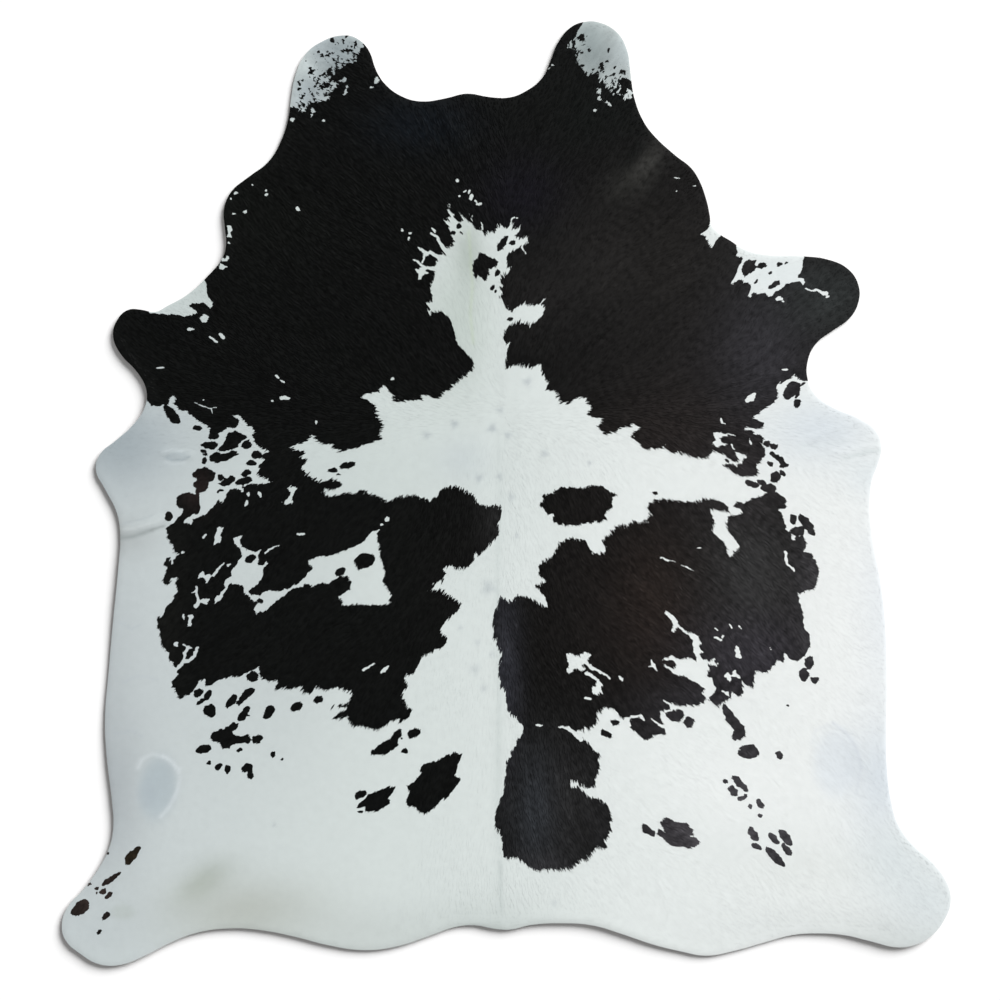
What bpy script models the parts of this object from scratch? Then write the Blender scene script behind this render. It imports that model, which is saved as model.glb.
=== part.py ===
# A cowhide rug lying flat, hair side up: one piece of hide with its neck, forelegs and hind legs.
# Metres, +Z up. The origin is on the floor under the middle of the hide. +Y points to the neck.
import bpy
import bmesh
from math import cos, exp, hypot, pi
from mathutils import Vector
from mathutils.geometry import delaunay_2d_cdt, intersect_point_line

HIDE_LENGTH = 2.20          # tip of the neck to the end of the rump
HIDE_WIDTH = 2.07           # hind leg to hind leg
LEATHER = 0.0022            # the tanned skin
RIM_HAIR = 0.0006           # hair pressed down at the cut edge
BELLY_HAIR = 0.0016         # depth of the lying hair on the belly and the legs
BACK_HAIR = 0.0034          # depth of the lying hair along the back and on the neck
BACK_SPREAD = 0.42          # how far from the spine the deep hair reaches
RIM_SLOPE = 0.014           # width of the band where the hair rises from the cut edge
MESH_STEP = 0.050           # spacing of the surface's points
ROW_SHIFT = 0.25            # how far each row of them is moved aside, in steps, left and right in turn
CREASE_STEP = 0.024         # spacing of the points along a crease
CREASE_GAP = 0.017          # clear space between a crease's points and the others
SLOPE_GAP = 0.0126          # least distance from the cut edge to the top of the hair's slope
INNER_GAP = 0.0266          # least distance from the cut edge to the points inside
RIM_STEPS = 3               # straight steps between two points of the outline
SHARP_ANGLE = pi / 5        # edges with more bend than this are shaded sharp

# The cut edge, read anticlockwise from the tip of the left neck lobe, in metres.
OUTLINE = {
    "left neck lobe": [(-0.375, 1.067), (-0.429, 1.051), (-0.466, 1.021), (-0.488, 0.974),
                       (-0.498, 0.920), (-0.505, 0.870), (-0.520, 0.824)],
    "left shoulder": [(-0.549, 0.774), (-0.599, 0.735), (-0.638, 0.701), (-0.654, 0.660),
                      (-0.652, 0.618), (-0.649, 0.580), (-0.657, 0.548), (-0.690, 0.507),
                      (-0.738, 0.463), (-0.784, 0.437), (-0.815, 0.422)],
    "left foreleg": [(-0.845, 0.427), (-0.877, 0.427), (-0.900, 0.407), (-0.912, 0.367),
                     (-0.895, 0.325), (-0.856, 0.282), (-0.835, 0.243), (-0.836, 0.205)],
    "left belly": [(-0.863, 0.161), (-0.906, 0.122), (-0.942, 0.091), (-0.952, 0.055),
                   (-0.931, 0.010), (-0.904, -0.043), (-0.895, -0.095), (-0.899, -0.170),
                   (-0.911, -0.290), (-0.922, -0.410), (-0.931, -0.530), (-0.926, -0.620),
                   (-0.914, -0.720), (-0.911, -0.775), (-0.920, -0.823)],
    "left hind leg": [(-0.945, -0.873), (-0.981, -0.923), (-1.017, -0.963), (-1.031, -1.006),
                      (-1.022, -1.041), (-0.988, -1.072), (-0.945, -1.096), (-0.895, -1.098),
                      (-0.838, -1.077), (-0.781, -1.048), (-0.715, -1.023)],
    "rump": [(-0.634, -1.013), (-0.563, -1.018), (-0.480, -1.035), (-0.418, -1.051),
             (-0.330, -1.064), (-0.254, -1.056), (-0.170, -1.029), (-0.115, -1.010),
             (-0.070, -1.006), (-0.025, -1.014), (0.010, -1.016), (0.060, -1.005),
             (0.130, -1.001), (0.203, -1.006), (0.274, -1.027), (0.345, -1.051),
             (0.405, -1.066), (0.467, -1.077), (0.530, -1.067), (0.609, -1.045)],
    "right hind leg": [(0.670, -1.029), (0.730, -1.025), (0.790, -1.029), (0.850, -1.043),
                       (0.913, -1.057), (0.955, -1.051), (0.991, -1.031), (1.023, -0.991),
                       (1.037, -0.948), (1.027, -0.906), (0.993, -0.859), (0.952, -0.823)],
    "right belly": [(0.915, -0.773), (0.898, -0.716), (0.890, -0.656), (0.887, -0.570),
                    (0.889, -0.456), (0.885, -0.300), (0.873, -0.199), (0.856, -0.110),
                    (0.849, -0.030), (0.854, 0.030), (0.869, 0.072), (0.876, 0.108),
                    (0.863, 0.144), (0.824, 0.173), (0.766, 0.198), (0.724, 0.227)],
    "right foreleg": [(0.705, 0.265), (0.705, 0.308), (0.724, 0.348), (0.765, 0.380),
                      (0.803, 0.408), (0.823, 0.445), (0.823, 0.485), (0.799, 0.522),
                      (0.753, 0.544), (0.690, 0.552), (0.615, 0.554), (0.560, 0.566)],
    "right shoulder": [(0.525, 0.588), (0.495, 0.607), (0.480, 0.624), (0.477, 0.645),
                       (0.468, 0.686), (0.449, 0.735), (0.431, 0.760), (0.399, 0.785),
                       (0.345, 0.835), (0.322, 0.867)],
    "right neck lobe": [(0.301, 0.921), (0.292, 0.978), (0.283, 1.035), (0.260, 1.074),
                        (0.218, 1.097), (0.185, 1.098), (0.154, 1.086), (0.124, 1.051),
                        (0.106, 1.007), (0.088, 0.969)],
    "neck notch": [(0.049, 0.937), (0.010, 0.922), (-0.036, 0.923), (-0.089, 0.931),
                   (-0.139, 0.920), (-0.196, 0.913), (-0.239, 0.924), (-0.279, 0.953),
                   (-0.300, 0.985), (-0.318, 1.033), (-0.346, 1.060)],
}

# Soft creases in the hide: start x and y, end x and y, width, and height of the crest.
CREASES = [
    (-0.895, -0.090, -0.790, -0.062, 0.040, 0.0014),
    (-0.800, 0.095, -0.735, 0.088, 0.032, 0.0010),
    (0.872, 0.108, 0.765, 0.092, 0.034, 0.0012),
    (0.830, 0.165, 0.715, 0.125, 0.036, 0.0009),
    (-0.905, -0.945, -0.850, -0.980, 0.036, 0.0011),
    (-0.180, 0.925, -0.100, 0.800, 0.060, 0.0010),
    (0.350, 0.810, 0.290, 0.700, 0.070, 0.0012),
]

# Shallow hollows: centre x and y, radius along x, radius along y, and depth.
HOLLOWS = [
    (-0.820, -0.675, 0.080, 0.095, 0.0011),
    (0.785, -0.650, 0.070, 0.090, 0.0009),
    (-0.710, -0.900, 0.150, 0.080, 0.0008),
    (-0.015, 0.150, 0.060, 0.450, 0.0006),
]


def clear_scene():
    for old in list(bpy.data.objects):
        bpy.data.objects.remove(old, do_unlink=True)


def make_collection(name):
    collection = bpy.data.collections.new(name)
    bpy.context.scene.collection.children.link(collection)
    return collection


def hair_material():
    material = bpy.data.materials.new("hide_hair")
    material.use_nodes = True
    shader = material.node_tree.nodes["Principled BSDF"]
    shader.inputs["Base Color"].default_value = (0.74, 0.76, 0.75, 1.0)
    shader.inputs["Roughness"].default_value = 0.62
    shader.inputs["Metallic"].default_value = 0.0
    return material


def smooth_outline(landmarks):
    # A closed curve through the landmarks, read off in straight steps.
    curve = bpy.data.curves.new("outline", "CURVE")
    curve.dimensions = "2D"
    curve.fill_mode = "NONE"
    curve.resolution_u = RIM_STEPS
    spline = curve.splines.new("BEZIER")
    spline.bezier_points.add(len(landmarks) - 1)
    spline.use_cyclic_u = True
    for point, (x, y) in zip(spline.bezier_points, landmarks):
        point.co = (x, y, 0.0)
        point.handle_left_type = "AUTO"
        point.handle_right_type = "AUTO"
    guide = bpy.data.objects.new("outline", curve)
    bpy.context.scene.collection.objects.link(guide)
    evaluated = guide.evaluated_get(bpy.context.evaluated_depsgraph_get())
    steps = bpy.data.meshes.new_from_object(evaluated)
    points = [Vector((vertex.co.x, vertex.co.y)) for vertex in steps.vertices]
    bpy.data.objects.remove(guide, do_unlink=True)
    bpy.data.meshes.remove(steps)
    return points


def fit_to_size(points):
    # The outline is centred on the origin and brought to the hide's length and width.
    low = Vector((min(p.x for p in points), min(p.y for p in points)))
    high = Vector((max(p.x for p in points), max(p.y for p in points)))
    middle = (low + high) / 2
    scale_x = HIDE_WIDTH / (high.x - low.x)
    scale_y = HIDE_LENGTH / (high.y - low.y)
    return [Vector(((p.x - middle.x) * scale_x, (p.y - middle.y) * scale_y)) for p in points]


def line_distance(point, start, end):
    nearest, along = intersect_point_line(point, start, end)
    return (point - start.lerp(end, min(max(along, 0.0), 1.0))).length


def rim_distance(point, rim):
    return min(line_distance(point, rim[i - 1], rim[i]) for i in range(len(rim)))


def is_inside(point, rim):
    inside = False
    for i in range(len(rim)):
        a = rim[i - 1]
        b = rim[i]
        if (a.y > point.y) != (b.y > point.y):
            if point.x < a.x + (point.y - a.y) * (b.x - a.x) / (b.y - a.y):
                inside = not inside
    return inside


def slope_points(rim):
    # One point behind each rim point, where the hair has risen to its full depth.
    points = []
    for i in range(len(rim)):
        along = rim[(i + 1) % len(rim)] - rim[i - 1]
        inward = Vector((-along.y, along.x)).normalized()
        points.append(rim[i] + inward * RIM_SLOPE)
    return [p for p in points if rim_distance(p, rim) > SLOPE_GAP]


def crease_points():
    # Points along each crease's crest and along its two feet.
    points = []
    for x1, y1, x2, y2, width, rise in CREASES:
        start = Vector((x1, y1))
        end = Vector((x2, y2))
        across = Vector((y1 - y2, x2 - x1)).normalized() * (width / 2)
        count = max(2, round((end - start).length / CREASE_STEP))
        for i in range(count + 1):
            crest = start.lerp(end, i / count)
            points.extend([crest, crest + across, crest - across])
    return points


def grid_points(taken):
    columns = int(HIDE_WIDTH / MESH_STEP / 2)
    rows = int(HIDE_LENGTH / MESH_STEP / 2)
    points = []
    for row in range(-rows, rows + 1):
        for column in range(-columns, columns + 1):
            # Every other row is moved aside, so that the triangles come out even.
            shift = ROW_SHIFT if row % 2 else -ROW_SHIFT
            point = Vector(((column + shift) * MESH_STEP, row * MESH_STEP))
            if all((point - other).length > CREASE_GAP for other in taken):
                points.append(point)
    return points


def crease_rise(point):
    rise = 0.0
    for x1, y1, x2, y2, width, height in CREASES:
        start = Vector((x1, y1))
        end = Vector((x2, y2))
        distance = line_distance(point, start, end)
        if distance < width / 2:
            rise += height * (1 + cos(2 * pi * distance / width)) / 2
    return rise


def hollow_depth(point):
    depth = 0.0
    for x, y, radius_x, radius_y, deepest in HOLLOWS:
        away = hypot((point.x - x) / radius_x, (point.y - y) / radius_y)
        if away < 1:
            depth += deepest * (1 + cos(pi * away)) / 2
    return depth


def surface_height(point, distance):
    # The height of the hair's surface, from how far the point lies from the cut edge.
    rim_height = LEATHER + RIM_HAIR
    back = exp(-(point.x / BACK_SPREAD) ** 2)
    full = LEATHER + BELLY_HAIR + (BACK_HAIR - BELLY_HAIR) * back
    full += crease_rise(point) - hollow_depth(point)
    share = min(distance / RIM_SLOPE, 1.0)
    return rim_height + (full - rim_height) * share


def build_hide(collection):
    rim = fit_to_size(smooth_outline([p for part in OUTLINE.values() for p in part]))
    creases = crease_points()
    inner = [p for p in creases + grid_points(creases)
             if is_inside(p, rim) and rim_distance(p, rim) > INNER_GAP]
    flat = rim + slope_points(rim) + inner
    places, _, faces, _, _, _ = delaunay_2d_cdt(flat, [], [list(range(len(rim)))], 1, 1e-6)

    body = bmesh.new()
    for place in places:
        height = surface_height(place, rim_distance(place, rim))
        body.verts.new((place.x, place.y, height))
    body.verts.ensure_lookup_table()
    for face in faces:
        body.faces.new([body.verts[i] for i in face])
    cut_edge = [edge for edge in body.edges if edge.is_boundary]
    wall = bmesh.ops.extrude_edge_only(body, edges=cut_edge)["geom"]
    for item in wall:
        if isinstance(item, bmesh.types.BMVert):
            item.co.z = 0.0
    floor_edges = [edge for edge in wall if isinstance(edge, bmesh.types.BMEdge) and edge.is_boundary]
    bmesh.ops.contextual_create(body, geom=floor_edges)
    bmesh.ops.recalc_face_normals(body, faces=body.faces)

    mesh = bpy.data.meshes.new("hide")
    body.to_mesh(mesh)
    body.free()
    mesh.materials.append(hair_material())
    mesh.shade_smooth()
    mesh.set_sharp_from_angle(angle=SHARP_ANGLE)
    hide = bpy.data.objects.new("hide", mesh)
    collection.objects.link(hide)


clear_scene()
build_hide(make_collection("cowhide_rug"))
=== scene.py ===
# Cowhide rug lying hair side up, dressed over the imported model. Metres, +Z up, +Y towards the neck.
import math
import bpy
import bmesh
import numpy as np
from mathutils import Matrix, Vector, noise
from mathutils.geometry import delaunay_2d_cdt


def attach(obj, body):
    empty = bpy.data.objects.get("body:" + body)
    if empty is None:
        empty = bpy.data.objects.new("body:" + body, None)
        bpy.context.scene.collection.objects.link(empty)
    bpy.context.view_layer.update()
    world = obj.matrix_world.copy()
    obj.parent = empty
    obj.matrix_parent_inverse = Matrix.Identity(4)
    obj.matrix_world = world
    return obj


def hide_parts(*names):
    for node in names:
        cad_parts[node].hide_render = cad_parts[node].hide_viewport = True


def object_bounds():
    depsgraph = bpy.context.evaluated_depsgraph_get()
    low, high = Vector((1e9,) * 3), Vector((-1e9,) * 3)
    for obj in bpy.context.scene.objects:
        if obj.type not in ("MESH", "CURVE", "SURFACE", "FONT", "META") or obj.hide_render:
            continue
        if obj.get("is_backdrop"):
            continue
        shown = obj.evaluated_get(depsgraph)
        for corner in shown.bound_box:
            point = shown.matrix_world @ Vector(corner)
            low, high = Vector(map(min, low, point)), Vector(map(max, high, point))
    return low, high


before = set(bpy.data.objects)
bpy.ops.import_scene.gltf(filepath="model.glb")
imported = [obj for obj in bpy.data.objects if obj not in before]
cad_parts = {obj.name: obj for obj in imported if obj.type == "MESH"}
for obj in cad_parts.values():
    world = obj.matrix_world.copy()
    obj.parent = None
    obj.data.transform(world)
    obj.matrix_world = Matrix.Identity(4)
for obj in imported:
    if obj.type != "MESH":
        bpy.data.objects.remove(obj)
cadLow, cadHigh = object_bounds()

print("frame loaded, hide is", [round(h - l, 3) for l, h in zip(cadLow, cadHigh)])

# The coat pattern, read off the hide, in centimetres from its own middle:
# x to the right, y towards the neck.
patternSizes = {
    "shift": (-0.0030, -0.0005),   # the pattern's middle, seen from the model's origin
    "spotGrow": 0.03,              # single spots and streaks are drawn this much larger, in cm
    "wobble": 0.12,                # how far every outline wanders off its drawn line, in cm
    "calm": (45, 65, 0.5),         # from and to this far out, in cm, the edges get that much smoother
    "taper": 0.6,                  # how much narrower a streak gets from its root to its tip
    "raggedDeep": 0.0036,          # how far the hair breaks up a patch edge
    "raggedWide": 0.0036,          # width of one tooth of it
    "raggedLong": 0.018,           # length of a tooth along the hair
    "raggedBand": 0.02,            # how far from a patch edge the teeth are worked out
    "raggedSeed": 3.7,
    "spotWaves": (0.045, 0.05),    # how far a spot strays from an oval, in 3 and in 5 waves
    "reach": 4.0,                  # how far around its points a shape counts, in cm
    "deepest": 4,                  # no place lies deeper in its patch than this, in cm
}
# How long the hair stands out along the edges of patches, windows, islands and streaks. For a
# spot it grows with the spot's width, from a least value up to a limit.
toothSizes = {
    "patch": 1.0, "window": 0.55, "island": 0.5, "streak": 0.2,
    "spotLeast": 0.1, "spotGrows": 0.13, "darkSpotMost": 0.45, "lightSpotMost": 0.4,
}
farOff = 99.0   # further than anything on the hide

upperMassEdge = [
    (-110, 130), (-110, 22), (-84.5, 22), (-83.4, 21.8), (-82.4, 20.5), (-81, 20.1), (-79.8, 20.6),
    (-78.4, 21), (-77.9, 22.5), (-77.4, 23), (-76.8, 22.2), (-77.2, 20.7), (-75.6, 19.5), (-74, 19.1),
    (-72.7, 17.9), (-71.3, 16.8), (-69.6, 15.9), (-68.6, 15.2), (-69.2, 14.2), (-67.5, 13.8),
    (-66, 14.4), (-64.8, 15.2), (-64.8, 17.6), (-63.8, 18.1), (-61.8, 18.3), (-61, 17.3), (-59.5, 15.7),
    (-58.3, 14.5), (-58.8, 13), (-57.7, 11.2), (-56.4, 10.5), (-55, 9.7), (-56.5, 9.3), (-56.3, 7.9),
    (-57.4, 6.4), (-57.7, 5), (-57, 3.8), (-54.2, 2.7), (-57.2, 2.2), (-59.5, 2.2), (-62, 1.2),
    (-64, 0.2), (-64.9, -0.6),
]
leftSaddleEdge = [
    (-66.2, -2.1), (-66.8, -1.4), (-68.1, -3), (-69.4, -4.6), (-71.2, -5.4), (-72.8, -6), (-73.2, -7.6),
    (-73.7, -6.9), (-75.2, -6.8), (-77.4, -6.9), (-79, -8.1), (-78.8, -10.3), (-77.2, -12.2),
    (-77.4, -13.7), (-75.2, -13.7), (-76.7, -14.6), (-77.7, -16.3), (-78.8, -17.4), (-79.5, -18.8),
    (-79.6, -21), (-78.8, -21.3), (-77.4, -19.7), (-75.6, -18.7), (-76.8, -21), (-76.5, -22.8),
    (-77.4, -24.7), (-79.2, -26.7), (-80, -28.8), (-80.9, -28.7), (-81.3, -30.3), (-80.4, -32.8),
    (-79.9, -35.6), (-78.4, -37.1), (-78.4, -38.8), (-77.4, -39.2), (-76.8, -41.2), (-76.3, -42.1),
    (-77.2, -43.5), (-78.1, -45.3), (-77, -45.3), (-76.7, -46.7), (-75.9, -48.1), (-74.5, -47.2),
    (-72.7, -46.3), (-72.2, -45.3), (-71.3, -43.8), (-69.9, -43.1), (-69.9, -44.9), (-68.4, -44.7),
    (-66.7, -43.5), (-64.2, -42.8), (-61.7, -42.6), (-60.2, -41.7), (-58.4, -41), (-57.4, -40.3),
    (-57, -43), (-54.9, -43.7), (-53.1, -43.7), (-53.8, -45.8), (-52.4, -45.3), (-49.6, -45.6),
    (-48.2, -44.9), (-47.1, -46), (-45.7, -46.9), (-44.6, -46), (-43.9, -44.6), (-42.9, -45.6),
    (-40.7, -45.6), (-39.1, -45.3), (-37.1, -45.8), (-35.7, -46.3), (-35.5, -47.1), (-36.8, -49.2),
    (-37, -48.8), (-40, -49.6), (-36.8, -50.2), (-40.5, -52.5), (-38.2, -52.4), (-36.6, -52.4),
    (-36.3, -53.5), (-35, -54.2), (-33.2, -54.4), (-29.6, -54.9), (-27.5, -53.8), (-25.4, -52.6),
    (-24.3, -53.1), (-22.5, -52.1), (-21.3, -50.8), (-22.5, -49.9), (-23.6, -48.1), (-23.9, -46.3),
    (-22.7, -45.1), (-23.4, -43.8), (-23.2, -42.6), (-21.4, -42.1), (-20.2, -39.9), (-19.3, -38),
    (-16.8, -36.9), (-14.6, -35.8), (-13.4, -34.9), (-13.6, -33.5), (-15, -32.8), (-15, -31),
    (-13.6, -29.7), (-12.1, -28.5), (-10.4, -26.7), (-10, -25.5), (-11.8, -24.6), (-13.6, -23.5),
    (-15, -22.4), (-17.9, -22.8), (-16.4, -22.1), (-16.8, -21), (-14.5, -20.3), (-13.9, -18.8),
    (-14.5, -17.6), (-13.6, -16.7), (-11.4, -17.2), (-9.6, -17.4), (-7.9, -16.7), (-7, -15.3),
    (-7.1, -13.8), (-5.7, -14.6), (-5, -13.1), (-3.6, -11.9), (-1.8, -10.3), (-1.4, -9.2), (-1.8, -7.8),
    (-1.1, -6.3), (-0.7, -4.6), (-1.2, -3.1), (-2.1, -2.6), (-3.6, -3.4), (-6.1, -2.4), (-7.1, -1.2),
    (-7.9, 0.1), (-11, 1.4), (-13.2, 1.6), (-14.5, 1.1), (-16.1, -1), (-17.5, -1.8), (-19.8, -0.8),
    (-21.4, -0.3), (-23.9, -0.6), (-25.4, -1.3), (-27.5, -2), (-28.6, -1.2), (-30, -0.5), (-32.5, 0.1),
    (-33.6, 1.2), (-34.8, 0.1), (-38.2, -0.1), (-39.1, -0.5), (-42.1, -0.8), (-42.3, 0.8), (-38.2, 1.4),
    (-37.8, 2.2), (-38.9, 2.9), (-40.7, 3.2), (-43.2, 2.9), (-44.8, 3.4), (-46.1, 4.5), (-47.3, 5.7),
    (-47.1, 6.8), (-45.9, 7.9), (-48, 8.6), (-46.6, 9.3), (-47.1, 9.8), (-50, 10.4),
]
bandAndBlazeEdge = [
    (-50.2, 10.7), (-48.9, 11.5), (-47.1, 11.7), (-45.9, 12.3), (-45, 13.4), (-44.1, 12.5), (-43.2, 12),
    (-41.8, 11.7), (-40.4, 11.4), (-39.8, 10.4), (-37.9, 9.7), (-36.4, 10.3), (-34.6, 10.8),
    (-32.5, 11.5), (-30.4, 12.2), (-28.9, 12.7), (-29.1, 13.6), (-28.5, 15.4), (-28.8, 16.8),
    (-29.6, 17.5), (-30, 18.9), (-30.5, 20.7), (-31.8, 21.6), (-33.9, 22.4), (-32.5, 23.4), (-30, 23.6),
    (-28.8, 24.5), (-28.2, 25.7), (-27.7, 24.7), (-26.4, 23.1), (-25.4, 21.4), (-22.5, 21.8),
    (-19.6, 21.7), (-19.1, 23.2), (-17.3, 22.7), (-15.2, 22.2), (-14.5, 23.4), (-12.9, 24.3),
    (-12.1, 25.4), (-10.7, 26.6), (-9.3, 27.5), (-8, 28.6), (-7.4, 29.7), (-7.9, 31.1), (-9.1, 32.7),
    (-10.4, 33.9), (-11.4, 35.4), (-12, 37.9), (-12.5, 40), (-13.6, 41.4), (-15, 42.5), (-16.4, 42.3),
    (-18.2, 41.7), (-17.2, 43), (-18.4, 44.5), (-17.2, 44.6), (-17.1, 45.7), (-17.5, 47.5),
    (-16.9, 49.4), (-16.4, 50.4), (-16.2, 51.6), (-16.3, 52.6), (-16.2, 53.6), (-15.6, 54.5),
    (-15, 55.2), (-14.3, 56.1), (-13.8, 57.2), (-12.3, 57.8), (-11.9, 58.6), (-12.3, 60), (-12.9, 61.4),
    (-13.2, 62.6), (-14.2, 63.2), (-13.4, 63.7), (-13.1, 64.8), (-13.3, 66.2), (-13.2, 67.5),
    (-12.8, 67.2), (-12.7, 65.5), (-11.8, 65), (-12.2, 64.3), (-11.4, 63.6), (-10.3, 63.4), (-10, 64.2),
    (-10.6, 65.4), (-9.8, 64.9), (-9.3, 63.3), (-8.9, 64.4), (-8.5, 63.3), (-7.7, 64.7), (-7.7, 63),
    (-7.2, 62.1), (-6.3, 61.5), (-5.7, 61.4), (-5.1, 62.9), (-5.1, 61.2), (-4.6, 60.2), (-3.6, 60.9),
    (-2.3, 61.2), (-1.9, 62.2), (-0.9, 62.7), (-0.2, 62.1), (0.3, 61.4), (0.9, 62.1), (1.3, 62.9),
    (1.3, 64.1), (1.8, 62.8), (2, 61.8), (3.4, 61.9), (3.2, 61), (2.2, 60), (3, 59.7), (4.5, 59.5),
    (5.4, 60.1), (5.4, 58.2), (4.7, 58.3), (4, 57.6), (2.9, 57.2), (1.8, 56.5), (0.7, 55.8),
    (0.3, 54.8), (0.4, 53.6), (1.3, 52.2), (0.3, 51), (-0.9, 50.2), (-1.2, 49.4), (-0.4, 48.7),
    (-1.3, 47.5), (-0.5, 46.9), (-1.2, 45.6), (-0.2, 44.3), (0.1, 43.2), (1.3, 42.5), (2.4, 43.4),
    (4.7, 44.5), (5.4, 43.8), (7.9, 44), (9, 45), (8.7, 43.8), (9.4, 43.2), (8.6, 41.4), (7.2, 39.9),
    (6.4, 39.7), (5.8, 38.4), (5.4, 39.4), (3.1, 40.1), (1.3, 39.1), (-0.1, 38.2), (-0.1, 36.8),
    (-0.8, 35.4), (1.3, 34.7), (0.6, 33.6), (0.1, 31.8), (0.3, 29.3), (3.1, 30.2), (6, 29.3),
    (8.5, 30.5), (8.5, 28.2), (9.4, 26.4), (10.1, 25.7), (9.7, 24.5), (11.3, 23.9), (12.4, 22.5),
    (13.1, 21.1), (14.9, 21.1), (16.7, 22.2), (18.8, 22.2), (19.5, 21.1), (19.9, 20), (19.2, 18.4),
    (21, 17.7), (22.8, 17.3), (21.5, 15.7), (23.1, 13.9), (25.3, 14.3), (27.4, 15.4), (29.2, 15.7),
    (29.5, 16.6), (31.2, 15.4), (29.5, 13.2), (31, 11.8), (32.8, 10.4), (34.9, 10.4), (36.7, 10.7),
    (37.4, 11.8), (37.2, 10.4), (39.2, 9.5), (42, 9.3), (43.5, 8.6), (46.3, 8.2), (47.5, 8.8),
    (48.4, 9.8), (50, 9.6), (51.2, 9.3), (51.6, 8.7), (52.6, 8.1), (53.2, 7.5), (54.2, 7.4),
    (54.5, 8.1), (54.1, 8.9), (53.6, 9.8), (54.6, 9.3), (56.2, 9.1), (56.3, 8.3), (55.2, 7),
    (54.4, 6.9), (54, 6.3), (53.4, 6.9), (52.7, 7.1), (52, 6.6), (50.7, 6.9), (51.2, 6.3), (51.9, 5.9),
    (53, 4.8), (54, 4.4), (55, 4.2), (57, 3.8), (58.6, 4), (58.8, 5.2), (58.4, 6.1), (59.5, 7.2),
    (59.9, 8.4), (60.5, 8.1), (61, 9), (60.6, 10.3), (59.8, 11.5), (60.2, 12.9), (59.6, 13.6),
    (58.4, 13.8), (57.6, 14.6), (56.6, 14.9), (55.7, 14.4), (55.2, 14), (55.6, 14.8), (56.4, 15.5),
    (57.4, 15.2), (58.6, 15), (59.9, 15.3), (60.5, 16.3), (59.6, 16.9), (58.4, 17.4), (57.2, 17.5),
    (58.6, 18.3), (60, 19.3), (61.2, 20.2), (62.7, 21.1), (63.6, 22.8), (63.4, 24.4), (63.5, 25.4),
    (64.5, 26.6), (64.1, 25.5), (65.3, 26.2), (66.6, 26.9), (67.7, 28), (68, 27), (69.3, 26.3),
    (71, 26.2), (110, 26), (110, 130),
]
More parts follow.
